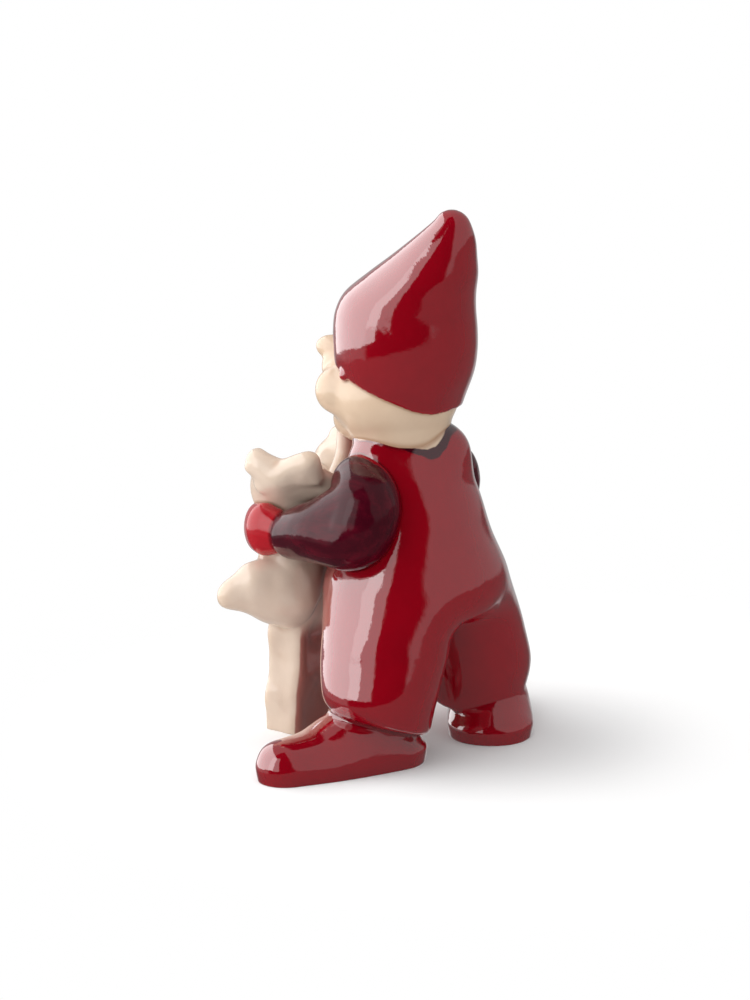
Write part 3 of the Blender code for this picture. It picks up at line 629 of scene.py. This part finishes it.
# The left arm's stations: place, radius in halves of the sleeve's width, and shares of an arm's way forward
# and of its lift
ARM_STATIONS = (
    (Vector((SHOULDER_SPREAD / 2.0, -0.0078, SHOULDER_HEIGHT - 0.0023)), 0.86, 0.4, 1.0),
    (Vector((ELBOW_SPREAD / 2.0 - 0.0020, -0.0030, SHOULDER_HEIGHT - 0.0070)), 1.0, 0.7, 1.0),
    (ELBOW, 0.95, 1.0, 0.0),
    ((ELBOW + WRIST) / 2.0 + Vector((0.0008, 0.0, 0.0010)), 0.90, 0.5, 0.0),
    (WRIST, CUFF_WIDTH / SLEEVE_WIDTH, 0.0, 0.0),
)


def sleeve_lumps(side, forward, lift):
    """An arm from the shoulder to the cuff. Forward moves its elbow most, and lift its shoulder."""
    stations = []
    for place, radius, forward_share, lift_share in ARM_STATIONS:
        moved = place + Vector((0.0, -forward * forward_share, lift * lift_share))
        stations.append((mirrored(moved, side), SLEEVE_WIDTH / 2.0 * radius))
    crook = hull(ball(*stations[1]) + ball(*stations[3]))
    return limb(stations) + [crook]


def mitten_lumps(side):
    """Palm, fingers and wrist of a mitten."""
    centre = Vector((side * HAND_SPREAD / 2.0, -HAND_REACH, HAND_HEIGHT))
    half = MITTEN_WIDTH / 2.0
    palm = ball(centre, (half * 0.72, MITTEN_LENGTH * 0.36, half * 1.08))
    fingers = ball(centre + mirrored(FINGERS, side), (half * 0.66, MITTEN_LENGTH * 0.24, half))
    wrist = ball(centre + Vector((0.0, MITTEN_LENGTH * 0.45, 0.0)), half * 0.72)
    return [hull(palm + fingers), hull(palm + wrist)]


# Star: hub, two upper rays, two lower rays, a top ray and the long foot. Both tables give the left half
HALF_THICK = STAR_THICKNESS / 2.0
# Lumps: middle and radii
STAR_LUMPS = {
    "middle": (STAR_CENTRE, (STAR_HUB_WIDTH * 0.34, HALF_THICK * 0.95, STAR_HUB_WIDTH * 0.40)),
    "waist": (STAR_CENTRE + Vector((STAR_HUB_WIDTH * 0.42, -0.0020, 0.0010)),
              (0.0035, HALF_THICK * 0.84, 0.0060)),
    "upper root": (STAR_CENTRE + Vector((STAR_HUB_WIDTH * 0.50, -0.0008, 0.0110)),
                   (0.0050, HALF_THICK * 1.12, 0.0050)),
    "lower root": (STAR_CENTRE + Vector((STAR_HUB_WIDTH * 0.45, -0.0010, -0.0170)),
                   (0.0058, HALF_THICK * 1.25, 0.0105)),
    "lower middle": ((LOWER_RAY + STAR_CENTRE + Vector((STAR_HUB_WIDTH * 0.45, 0.0, -0.0150))) / 2.0,
                     (0.0060, 0.0066, 0.0080)),
    "web": ((UPPER_RAY + UPPER_RAY_BACK) / 2.0 - Vector((0.0010, 0.0, 0.0042)), 0.0046),
    "heel": (STAR_CENTRE + Vector((0.0125, 0.0120, 0.0135)), 0.0036),
}
# Small balls along the edges of the rays: middle and radius
STAR_TIPS = {
    "back": (UPPER_RAY_BACK, RAY_TIP_RADIUS),
    "back corner": (UPPER_RAY_BACK + Vector((0.0, 0.0012, 0.0)), RAY_TIP_RADIUS * 1.9),
    "back flank": (Vector((0.0168, -0.0208, 0.0725)), 0.0028),
    "front ridge": (UPPER_RAY - Vector((0.0010, 0.0, 0.0020)), RAY_TIP_RADIUS),
    "back ridge": (UPPER_RAY_BACK - Vector((0.0, 0.0, 0.0016)), RAY_TIP_RADIUS),
    "front saddle": (UPPER_RAY - Vector((0.0010, 0.0, 0.0030)), 0.0030),
    "back saddle": (UPPER_RAY_BACK - Vector((0.0, 0.0, 0.0030)), 0.0030),
    "lower end": (LOWER_RAY - Vector((0.0010, 0.0, 0.0)), RAY_TIP_RADIUS * 1.7),
}
FRONT_CORNER = UPPER_RAY - Vector((0.0016, -0.0012, 0.0012))
FRONT_FLANK = Vector((0.0190, -0.0355, 0.0700))
LEFT_BLUNTNESS = 2.2     # radius of an upper ray's front corner, in ray tips
RIGHT_BLUNTNESS = 1.2


def star_side(side):
    """The lumps of one half of the star."""
    lump = {name: ball(mirrored(middle, side), radii) for name, (middle, radii) in STAR_LUMPS.items()}
    tip = {name: ball(mirrored(middle, side), radius, TIP_SIDES)
           for name, (middle, radius) in STAR_TIPS.items()}
    corner_radius = RAY_TIP_RADIUS * (LEFT_BLUNTNESS if side > 0 else RIGHT_BLUNTNESS)
    corner = ball(mirrored(FRONT_CORNER, side), corner_radius, TIP_SIDES)
    flank = ball(mirrored(FRONT_FLANK, side), corner_radius * 0.8, TIP_SIDES)
    return [
        hull(lump["middle"] + lump["waist"]),
        hull(lump["waist"] + lump["upper root"] + lump["middle"]),
        hull(lump["upper root"] + lump["web"] + lump["heel"]),
        hull(lump["web"] + lump["heel"] + tip["back"]),
        hull(lump["web"] + corner + flank),
        hull(lump["web"] + tip["back corner"] + tip["back flank"]),
        hull(lump["upper root"] + tip["front ridge"] + tip["back ridge"]),
        hull(tip["front saddle"] + tip["back saddle"]),
        hull(lump["waist"] + lump["lower root"] + lump["middle"]),
        hull(lump["lower root"] + lump["lower middle"]),
        hull(lump["lower middle"] + tip["lower end"]),
    ]


def star_middle():
    """Hub, top ray and the foot's root."""
    hub = ball(STAR_CENTRE, (STAR_HUB_WIDTH / 2.0, HALF_THICK, STAR_HUB_WIDTH / 2.0))
    top_root = ball(STAR_CENTRE + Vector((0.0, 0.0095, 0.0060)), (0.0060, 0.0042, 0.0060))
    foot_root = ball(STAR_CENTRE + Vector((0.0, -0.0030, -0.0140)), (0.0100, HALF_THICK * 0.95, 0.0115))
    return [hull(hub), hull(top_root + ball(TOP_RAY, RAY_TIP_RADIUS * 1.5)), hull(foot_root)]


def foot_lump():
    """The lowest ray: a rounded plank that leans back from the table up to the hub."""
    points = []
    half_width = FOOT_WIDTH / 2.0 - SOFT_EDGE
    half_depth = FOOT_DEPTH / 2.0 - SOFT_EDGE
    for side in (-1, 1):
        for way in (-1, 1):
            for height, lean in ((-SOFT_EDGE * 2.0, 0.0), (STAR_CENTRE.z - STAR_HUB_WIDTH / 2.0, FOOT_LEAN)):
                corner = (side * half_width, FOOT_CENTRE_Y + lean + way * half_depth, height)
                points += ball(corner, SOFT_EDGE, TIP_SIDES)
    return hull(points)


# Shoes
def shoe_station(middle, width, height):
    """Points round one part of a shoe: sole edge, widest line and rounded top."""
    half = width / 2.0
    points = ring((middle.x, middle.y, -SOLE_SINK), half - SOLE_EDGE, half - SOLE_EDGE)
    points += ring((middle.x, middle.y, SHOE_BULGE), half, half)
    points += ball((middle.x, middle.y, height - half * SHOE_TOP_ROUND),
                   (half * SHOE_TOP_WIDTH, half * SHOE_TOP_WIDTH, half * SHOE_TOP_ROUND))
    return points


# Stations of a shoe: share of the way from the heel's middle to the toe's middle, width and height
SHOE_STATIONS = (
    (0.0, HEEL_WIDTH, HEEL_HEIGHT),
    (0.25, HEEL_WIDTH * 0.98, INSTEP_HEIGHT),
    (0.62, BALL_WIDTH, TOE_HEIGHT + 0.0012),
    (1.0, TOE_WIDTH, TOE_HEIGHT),
)


def shoe_lumps(heel, direction):
    """A shoe from its heel to its toe."""
    lengthwise = direction * (SHOE_LENGTH - HEEL_WIDTH / 2.0 - TOE_WIDTH / 2.0)
    rows = finer([(heel + lengthwise * share, width, height) for share, width, height in SHOE_STATIONS], 3)
    return [hull(shoe_station(*here) + shoe_station(*there)) for here, there in zip(rows, rows[1:])]


# The dressed pieces
brim_normal = Vector((0.0, sin(radians(BRIM_TILT)), cos(radians(BRIM_TILT))))
brim_middle = UP * BRIM_HEIGHT + FIGURE_SHIFT


def as_lump(item):
    """A piece's mesh, moved back into the figure's own frame to be welded to more lumps."""
    item.data.transform(Matrix.Translation(-FIGURE_SHIFT))
    return item.data


def overalls_piece():
    """Body and legs, welded softly, then welded to the shoes."""
    core = fine_clay("core", core_lumps, CORE_SOFTNESS, CORE_GRAIN)
    shoes = shoe_lumps(LEFT_HEEL, LEFT_TOE_WAY) + shoe_lumps(RIGHT_HEEL, RIGHT_TOE_WAY)
    piece = fine_clay("overalls", [as_lump(core)] + shoes, BODY_SOFTNESS)
    bpy.data.objects.remove(core)
    return piece


def head_piece():
    """The head, cut off inside the hat, with its nose."""
    skull = fine_clay("elf_head", head_lumps, HEAD_SOFTNESS)
    cut_off_below(skull, brim_middle + brim_normal * HEAD_TUCK, -brim_normal)
    nose = hull(ball(HEAD_CENTRE + NOSE, (NOSE_RADIUS, NOSE_LENGTH / 2.0, NOSE_RADIUS)))
    piece = fine_clay("elf_head", [as_lump(skull), nose], NOSE_SOFTNESS)
    bpy.data.objects.remove(skull)
    return piece


def sag(item):
    """Let the brim hang lower behind each ear."""
    middle_y = HAT_LEAN * HAT_STATIONS[1][1]
    for vertex in item.data.vertices:
        place = vertex.co - FIGURE_SHIFT
        behind_ear = degrees(atan2(place.y - middle_y, abs(place.x)))
        off_side = (behind_ear - SAG_SIDE) / SAG_REACH
        above_brim = max(0.0, (place.z - BRIM_HEIGHT) / SAG_FADE)
        vertex.co.z -= BRIM_SAG * exp(-off_side ** 2 - above_brim ** 2)


def hat_piece():
    """The hat, cut off at its brim, with a rolled edge and one thick drop of glaze."""
    bare = fine_clay("pointed_hat", [loft(hat_rings())], HAT_SOFTNESS)
    cut_off_below(bare, brim_middle, brim_normal)
    edge = [brim_point(2.0 * pi * step / BRIM_POINTS, BRIM_ROLL * 0.75, BRIM_ROLL * 0.9)
            for step in range(BRIM_POINTS)]
    drip = brim_point(radians(DRIP_ANGLE), BRIM_ROLL * 0.6, DRIP_LIFT)
    lumps = [as_lump(bare)] + roll(edge, BRIM_ROLL) + [hull(ball(drip, DRIP_RADIUS))]
    bpy.data.objects.remove(bare)
    piece = fine_clay("pointed_hat", lumps, BRIM_SOFTNESS)
    sag(piece)
    return piece


overalls = overalls_piece()
head = head_piece()
hat = hat_piece()
star = fine_clay("puffy_star", star_side(1) + star_side(-1) + star_middle() + [foot_lump()], STAR_SOFTNESS)
left_sleeve = fine_clay("left_arm", sleeve_lumps(1, 0.0, 0.0), SLEEVE_SOFTNESS)
right_sleeve = fine_clay("right_arm", sleeve_lumps(-1, RIGHT_ARM_FORWARD, RIGHT_ARM_LIFT), SLEEVE_SOFTNESS)
left_mitten = fine_clay("left_hand", mitten_lumps(1), SMALL_SOFTNESS)
right_mitten = fine_clay("right_hand", mitten_lumps(-1), SMALL_SOFTNESS)
dent(star, STAR_DENTS, STAR_DENT_SIZE)
dent(star, STAR_DENTS * 0.25, STAR_DENT_SIZE * 0.4)
for item in (overalls, hat, head, left_sleeve, right_sleeve, left_mitten, right_mitten):
    dent(item, HAND_DENTS, DENT_SIZE)
for standing in (star, overalls):
    cut_off_below(standing, Vector((0.0, 0.0, 0.0)), UP)

DRESSED = {
    overalls: ("torso", "left_trouser_leg", "right_trouser_leg", "left_shoe", "right_shoe"),
    head: ("head", "nose"),
    hat: ("hat",),
    star: ("star",),
    left_sleeve: ("left_sleeve",),
    right_sleeve: ("right_sleeve",),
    left_mitten: ("left_mitten",),
    right_mitten: ("right_mitten",),
}


# What the glaze knows about its place on the clay
def tree_of(items):
    vertices = []
    faces = []
    for item in items:
        start = len(vertices)
        vertices += [vertex.co.copy() for vertex in item.data.vertices]
        faces += [[start + index for index in face.vertices] for face in item.data.polygons]
    return BVHTree.FromPolygons(vertices, faces)


def write_attribute(mesh, name, values):
    layer = mesh.attributes.new(name, 'FLOAT', 'POINT')
    layer.data.foreach_set("value", np.asarray(values, dtype=np.float32))


def neighbour_mean(values, pairs):
    """Mean of each vertex's neighbours."""
    total = np.zeros_like(values)
    count = np.zeros(len(values))
    for first, second in ((0, 1), (1, 0)):
        np.add.at(total, pairs[:, first], values[pairs[:, second]])
        np.add.at(count, pairs[:, first], 1.0)
    count[count == 0.0] = 1.0
    return total / (count[:, None] if values.ndim == 2 else count)


def bend_of(mesh):
    """How far the surface bends, per millimetre: positive on ridges, negative in creases."""
    places = rows_of(mesh.vertices, "co", 3)
    normals = rows_of(mesh.vertices, "normal", 3)
    pairs = rows_of(mesh.edges, "vertices", 2, np.int64)
    offset = places - neighbour_mean(places, pairs)
    length = np.linalg.norm(places[pairs[:, 0]] - places[pairs[:, 1]], axis=1).mean()
    bend = (offset * normals).sum(axis=1) * 4.0 / length ** 2 / 1000.0
    for _ in range(BEND_BLUR):
        bend = (bend + neighbour_mean(bend, pairs)) / 2.0
    return bend


def nearness(item, tree, reach):
    """One where another piece touches, falling to zero at the reach."""
    values = []
    for vertex in item.data.vertices:
        found = tree.find_nearest(vertex.co, reach)
        values.append(0.0 if found[0] is None else 1.0 - found[3] / reach)
    return values


for item in DRESSED:
    others = [other for other in DRESSED if other is not item]
    write_attribute(item.data, "bend", bend_of(item.data))
    write_attribute(item.data, "near", nearness(item, tree_of(others), POOL_REACH))
red_neighbours = tree_of([overalls])
for item in (left_sleeve, right_sleeve):
    write_attribute(item.data, "red_bleed_and_painted_bounce", nearness(item, red_neighbours, BLEED_REACH))


def foot_back_bounce(vertex):
    """One on the back of the star's foot, where red reflected light and shade from the trouser legs are
    painted on, and nought elsewhere.
    """
    facing = (vertex.normal.y - FOOT_BOUNCE_FACING) / (1.0 - FOOT_BOUNCE_FACING)
    height = (FOOT_BOUNCE_TOP - vertex.co.z) / FOOT_BOUNCE_FADE
    return min(1.0, max(0.0, facing * 2.0)) * min(1.0, max(0.0, height))


neck = rows_of(overalls.data.vertices, "co", 3) - np.array(FIGURE_SHIFT)
round_neck = np.degrees(np.arctan2(neck[:, 1] - NECK_CENTRE_Y, neck[:, 0]))
line_angles, line_heights, collar_widths = np.array(NECK_LINE, dtype=float).T
line = np.interp(round_neck, line_angles, line_heights) / 1000.0
write_attribute(overalls.data, "above_line", neck[:, 2] - line)
write_attribute(overalls.data, "collar_width", np.interp(round_neck, line_angles, collar_widths) / 1000.0)
# The star's mask of painted red reflected light and shade: near the overalls and on the back of its foot
near_overalls = nearness(star, red_neighbours, RED_BOUNCE_REACH)
write_attribute(star.data, "red_bleed_and_painted_bounce", [max(near, foot_back_bounce(vertex))
                                     for near, vertex in zip(near_overalls, star.data.vertices)])


# Node shorthand
class Nodes:
    """One node tree: each call adds a node and gives its output."""

    def __init__(self, owner):
        owner.use_nodes = True
        self.tree = owner.node_tree

    def add(self, kind, values=()):
        """Add a node, with values or outputs for some of its inputs."""
        node = self.tree.nodes.new(kind)
        for name, value in dict(values).items():
            self.feed(node.inputs[name], value)
        return node

    def feed(self, socket, value):
        if isinstance(value, bpy.types.NodeSocket):
            self.tree.links.new(value, socket)
        elif isinstance(value, tuple) and len(value) == 3 and socket.type == 'RGBA':
            socket.default_value = (*value, 1.0)
        else:
            socket.default_value = value

    def pair(self, kind, operation, first, second):
        node = self.add(kind, {0: first, 1: second})
        node.operation = operation
        return node

    def calculate(self, operation, first, second):
        return self.pair("ShaderNodeMath", operation, first, second).outputs[0]

    def sum(self, first, second):
        return self.calculate('ADD', first, second)

    def difference(self, first, second):
        return self.calculate('SUBTRACT', first, second)

    def product(self, first, second):
        return self.calculate('MULTIPLY', first, second)

    def vector(self, operation, first, second):
        """A number from two vectors, such as the distance between them."""
        return self.pair("ShaderNodeVectorMath", operation, first, second).outputs["Value"]

    def ramp(self, value, low, high, to_low=0.0, to_high=1.0):
        """The value's share of the way from low to high, smooth at both ends."""
        span = {"From Min": low, "From Max": high, "To Min": to_low, "To Max": to_high}
        node = self.add("ShaderNodeMapRange", {"Value": value, **span})
        node.interpolation_type = 'SMOOTHSTEP'
        return node.outputs["Result"]

    def mix(self, share, first, second):
        """A colour between two others."""
        node = self.add("ShaderNodeMix")
        node.data_type = 'RGBA'
        self.feed(node.inputs["Factor"], share)
        self.feed(node.inputs[6], first)
        self.feed(node.inputs[7], second)
        return node.outputs[2]

    def surface(self, output, share, first, second):
        """Show the first shader where the share is nought, and the second where it is one."""
        node = self.add("ShaderNodeMixShader", {0: share, 1: first.outputs[0], 2: second.outputs[0]})
        self.feed(self.tree.nodes[output].inputs["Surface"], node.outputs[0])


# Glazes
class Glaze(Nodes):
    """A glazed surface, built round one Principled BSDF."""

    def __init__(self, name, roughness, ior=GLAZE_IOR, coat=1.0):
        self.material = bpy.data.materials.new(name)
        super().__init__(self.material)
        self.shader = self.tree.nodes["Principled BSDF"]
        gloss = {"Roughness": roughness, "IOR": ior, "Coat Weight": coat, "Coat IOR": GLAZE_IOR,
                 "Coat Roughness": COAT_ROUGHNESS}
        for socket, value in gloss.items():
            self.shader.inputs[socket].default_value = value
        self.place = self.add("ShaderNodeTexCoord").outputs["Object"]

    def noise(self, size, detail=3.0, stretch=None, rough=0.5):
        """Noise whose lumps are about size metres across, from 0 to 1."""
        place = self.place
        if stretch:
            place = self.add("ShaderNodeMapping", {"Vector": place, "Scale": stretch}).outputs["Vector"]
        node = self.add("ShaderNodeTexNoise", {"Vector": place, "Scale": 1.0 / size, "Detail": detail,
                                               "Roughness": rough})
        return node.outputs["Fac"]

    def attribute(self, name):
        node = self.add("ShaderNodeAttribute")
        node.attribute_name = name
        return node.outputs["Fac"]

    def specks(self, spacing, radius):
        """Tiny round pits: one inside them and nought outside."""
        node = self.add("ShaderNodeTexVoronoi", {"Vector": self.place, "Scale": 1.0 / spacing})
        return self.ramp(node.outputs["Distance"], radius / spacing, radius / spacing * 0.5)

    def height(self, steps):
        """Bumps, each given by its pattern and its height in metres."""
        normal = None
        for pattern, height in steps:
            bump = self.add("ShaderNodeBump", {"Distance": height, "Height": pattern})
            if normal is not None:
                self.feed(bump.inputs["Normal"], normal)
            normal = bump.outputs["Normal"]
        self.feed(self.shader.inputs["Normal"], normal)
        self.feed(self.shader.inputs["Coat Normal"], normal)


def colour_between(first, second, share):
    return tuple(a + (b - a) * share for a, b in zip(first, second))


def pooled(glaze, thin, usual, thick):
    """Thin and lighter on ridges, thick and darker in creases, with soft mottling in between."""
    bend = glaze.attribute("bend")
    near = glaze.attribute("near")
    mottle = glaze.ramp(glaze.noise(MOTTLE_SIZE, 4.0), *MOTTLE_SPAN)
    ridge = glaze.ramp(bend, *RIDGE_BEND)
    crease = glaze.ramp(bend, *CREASE_BEND)
    pool = glaze.calculate('MAXIMUM', crease, glaze.ramp(near, *POOL_NEAR))
    body = glaze.mix(mottle, usual, colour_between(usual, thick, MOTTLE))
    body = glaze.mix(glaze.product(ridge, THINNING), body, thin)
    return glaze.mix(glaze.product(pool, POOLING), body, thick)


def fired(glaze, colour, waviness=1.0):
    """The finished material, with the unevenness of thick glaze: broad waves, small waves and pits."""
    glaze.feed(glaze.shader.inputs["Base Color"], colour)
    broad = glaze.noise(WAVE_SIZE, 1.0)
    small = glaze.noise(RIPPLE_SIZE, 3.0, rough=0.55)
    pits = glaze.specks(PIT_SPACING, PIT_RADIUS)
    glaze.height([(broad, WAVE_HEIGHT * waviness), (small, RIPPLE_HEIGHT * waviness), (pits, -PIT_DEPTH)])
    return glaze.material


def red_glaze():
    glaze = Glaze("thick_red_glaze", GLOSSY)
    return fired(glaze, pooled(glaze, RED_THIN, RED, RED_THICK))


def overalls_glaze():
    """Red, with a brushed burgundy collar below the neck, whose glaze is the head's."""
    glaze = Glaze("overalls_glaze", GLOSSY)
    body = pooled(glaze, RED_THIN, RED, RED_THICK)
    wobble = glaze.product(glaze.sum(glaze.noise(LINE_WOBBLE_SIZE), -0.5), LINE_WOBBLE)
    level = glaze.sum(glaze.attribute("above_line"), wobble)
    collar = glaze.ramp(glaze.sum(level, glaze.attribute("collar_width")), 0.0, COLLAR_EDGE)
    painted = glaze.mix(collar, body, BURGUNDY)
    skin = pooled(glaze, SKIN_THIN, SKIN, SKIN_THICK)
    return fired(glaze, glaze.mix(glaze.ramp(level, 0.0, SKIN_EDGE), painted, skin))


def sleeve_glaze():
    """Burgundy laid on with a brush over red: streaks along the arm, and red beside the overalls."""
    glaze = Glaze("sleeve_glaze", SATIN, BRUSHED_IOR, 0.0)
    streaks = glaze.noise(STREAK_SIZE, 3.0, STREAK_STRETCH, STREAK_ROUGHNESS)
    brushed = glaze.mix(glaze.ramp(streaks, *STREAK_SPAN), BURGUNDY, BURGUNDY_THIN)
    wobble = glaze.product(glaze.noise(BLEED_WOBBLE_SIZE), BLEED_WOBBLE)
    bleed = glaze.ramp(glaze.sum(glaze.attribute("red_bleed_and_painted_bounce"), wobble), *BLEED_SPAN)
    body = glaze.mix(bleed, brushed, RED)
    ridge = glaze.ramp(glaze.attribute("bend"), *BRUSHED_RIDGE)
    return fired(glaze, glaze.mix(glaze.product(ridge, BRUSHED_THINNING), body, BURGUNDY_THIN))


def mitten_glaze():
    glaze = Glaze("mitten_glaze", SATIN, THIN_GLAZE_IOR, 0.1)
    return fired(glaze, pooled(glaze, MITTEN_THIN, MITTEN_RED, RED_THICK))


def pale_glaze(name, thin, usual, thick):
    """Cream, a little less glossy, warm brown where it pools, and a painted red-brown reflection and shade
    where its mask is set.
    """
    glaze = Glaze(name, SEMI_GLOSS, THIN_GLAZE_IOR, 0.25)
    # Painted red reflected light and shade, mixed in by the mask
    red_bounce = glaze.ramp(glaze.attribute("red_bleed_and_painted_bounce"), *RED_BOUNCE_SPAN, 0.0, RED_BOUNCE_STRENGTH)
    return fired(glaze, glaze.mix(red_bounce, pooled(glaze, thin, usual, thick), PAINTED_RED_BOUNCE), PALE_WAVINESS)


LOOKS = {
    overalls: overalls_glaze(),
    hat: red_glaze(),
    left_sleeve: sleeve_glaze(),
    left_mitten: mitten_glaze(),
    head: pale_glaze("skin_glaze_look", SKIN_THIN, SKIN, SKIN_THICK),
    star: pale_glaze("cream_glaze_look", CREAM_THIN, CREAM, CREAM_THICK),
}
LOOKS[right_sleeve] = LOOKS[left_sleeve]
LOOKS[right_mitten] = LOOKS[left_mitten]

for item, nodes in DRESSED.items():
    item.data.materials.clear()
    item.data.materials.append(LOOKS[item])
    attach(item, "root")
    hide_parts(*nodes)

# Camera: the photograph's view
turn = radians(VIEW_AZIMUTH)
tilt = radians(VIEW_ELEVATION)
RIGHT = Vector((cos(turn), sin(turn), 0.0))
LEVEL = Vector((sin(turn), -cos(turn), 0.0))
TOWARDS_CAMERA = Vector((sin(turn) * cos(tilt), -cos(turn) * cos(tilt), sin(tilt)))
aim = FIGURE_SHIFT + UP * AIM_HEIGHT + RIGHT * AIM_SIDE
camera_data = bpy.data.cameras.new("camera")
camera_data.sensor_fit = 'VERTICAL'
camera_data.sensor_height = 36.0
camera_data.lens = LENS
camera_data.clip_end = 20.0
camera = bpy.data.objects.new("camera", camera_data)
bpy.context.scene.collection.objects.link(camera)
camera.location = aim + TOWARDS_CAMERA * VIEW_DISTANCE
camera.rotation_euler = TOWARDS_CAMERA.to_track_quat('Z', 'Y').to_euler()
bpy.context.scene.camera = camera


# Light: one big soft box on the left, a small one overhead, and a pale room that is dark behind the camera
def direction(side_degrees, up_degrees):
    """From the figure: degrees to the right of the camera, and degrees above the table."""
    side = radians(side_degrees)
    up = radians(up_degrees)
    return (LEVEL * cos(side) + RIGHT * sin(side)) * cos(up) + UP * sin(up)


def soft_box(name, side_degrees, up_degrees, distance, width, height, lean, brightness):
    """A rectangular lamp of a given brightness that faces the figure and leans sideways by some degrees."""
    data = bpy.data.lights.new(name, 'AREA')
    data.shape = 'RECTANGLE'
    data.size = width
    data.size_y = height
    data.energy = brightness * width * height * pi
    item = bpy.data.objects.new(name, data)
    bpy.context.scene.collection.objects.link(item)
    way = direction(side_degrees, up_degrees)
    item.location = FIGURE_SHIFT + UP * LAMP_AIM_HEIGHT + way * distance
    item.rotation_euler = (way.to_track_quat('Z', 'Y').to_matrix()
                           @ Matrix.Rotation(radians(lean), 3, 'Z')).to_euler()
    item.visible_camera = False
    return item


soft_box("left_soft_box", side_degrees=-101.0, up_degrees=21.0, distance=0.80, width=2.10, height=0.98,
         lean=8.0, brightness=LEFT_BRIGHTNESS)
top = soft_box("top_soft_box", side_degrees=20.0, up_degrees=78.0, distance=0.9, width=0.8, height=0.8,
               lean=0.0, brightness=TOP_BRIGHTNESS)
top.visible_glossy = False

world = bpy.data.worlds.new("pale_room")
bpy.context.scene.world = world
room = Nodes(world)
sight = room.add("ShaderNodeTexCoord").outputs["Generated"]


def along(axis):
    """The part of a line of sight that runs along an axis, from -1 to 1."""
    return room.vector('DOT_PRODUCT', sight, axis)


def past(value, edge, softness):
    """Nought before an edge and one past it, or the other way round where the softness is negative."""
    return room.ramp(value, edge - softness, edge + softness)


side_angle = room.calculate('ARCTAN2', along(RIGHT), along(LEVEL))
up_part = along(UP)

# The dark part behind the camera, the wall round it and the ground below
leaning = room.sum(side_angle, room.product(up_part, DARK_LEAN))
dark = room.product(past(side_angle, radians(DARK_LEFT), radians(DARK_EDGE)),
                    past(leaning, radians(DARK_RIGHT), -radians(DARK_EDGE)))
wall = room.difference(ROOM_BRIGHTNESS, room.product(dark, ROOM_BRIGHTNESS))
horizon_up = Matrix.Rotation(radians(HORIZON_TILT), 3, LEVEL) @ UP
above = past(along(horizon_up), HORIZON, HORIZON_EDGE)
unlit = room.sum(GROUND_BRIGHTNESS, room.product(above, room.difference(wall, GROUND_BRIGHTNESS)))

# The near end of the soft box
window = past(side_angle, radians(WINDOW_LEFT), radians(WINDOW_LEFT_EDGE))
for value, edge, softness in (
        (side_angle, radians(WINDOW_RIGHT), -WINDOW_EDGE),
        (up_part, sin(radians(WINDOW_LOW)), WINDOW_EDGE),
        (up_part, sin(radians(WINDOW_HIGH)), -WINDOW_EDGE)):
    window = room.product(window, past(value, edge, softness))
lit = room.sum(unlit, room.product(window, room.difference(WINDOW_BRIGHTNESS, unlit)))

# White paper behind the figure
beside = room.ramp(room.product(side_angle, side_angle), radians(PAPER_START) ** 2,
                   radians(PAPER_FULL) ** 2)
below = room.ramp(up_part, sin(radians(PAPER_TOP)), sin(radians(PAPER_FULL_TOP)))
paper_glow = room.product(room.product(beside, below), PAPER_BRIGHTNESS)
seen_by_glaze = room.calculate('MAXIMUM', lit, paper_glow)

# The glaze sees that room, matt surfaces get even light, and the camera sees white
ray = room.add("ShaderNodeLightPath")
extra = room.product(ray.outputs["Is Glossy Ray"], room.difference(seen_by_glaze, FILL_BRIGHTNESS))
walls = room.tree.nodes["Background"]
room.feed(walls.inputs["Strength"], room.sum(FILL_BRIGHTNESS, extra))
white = room.add("ShaderNodeBackground")
white.inputs["Strength"].default_value = 1.0
for background in (walls, white):
    background.inputs["Color"].default_value = (1.0, 1.0, 1.0, 1.0)
room.surface("World Output", ray.outputs["Is Camera Ray"], walls, white)

# Floor: pale, and left out of the glaze's reflections, as if the figure stood on a small white stand
bpy.ops.mesh.primitive_plane_add(size=FLOOR_SIZE)
floor = bpy.context.object
floor.name = "floor"
floor_material = bpy.data.materials.new("pale_floor")
floor_look = Nodes(floor_material)
spot = floor_look.add("ShaderNodeTexCoord").outputs["Object"]
camera_ray = floor_look.add("ShaderNodeLightPath").outputs["Is Camera Ray"]
# A soft shadow is painted into the floor's colour to the camera's right of the figure, darkest near its
# middle
outside_painted_shadow = floor_look.ramp(floor_look.vector('DISTANCE', spot, RIGHT * PAINTED_SHADOW_SIDE), PAINTED_SHADOW_SOLID, PAINTED_SHADOW_END)
paper_with_painted_shadow = floor_look.mix(outside_painted_shadow, PAINTED_SHADOW_TONE, FLOOR_SEEN)
paper = floor_look.add("ShaderNodeBsdfDiffuse")
floor_look.feed(paper.inputs["Color"], floor_look.mix(camera_ray, FLOOR_COLOUR, paper_with_painted_shadow))
away = floor_look.vector('DISTANCE', spot, RIGHT * FLOOR_MIDDLE_SIDE)
faded = floor_look.ramp(away, FLOOR_SOLID, FLOOR_END)
floor_look.surface("Material Output", floor_look.product(faded, camera_ray), paper,
                   floor_look.add("ShaderNodeBsdfTransparent"))
floor.data.materials.append(floor_material)
floor.visible_glossy = False

bpy.context.scene.view_settings.view_transform = 'Standard'
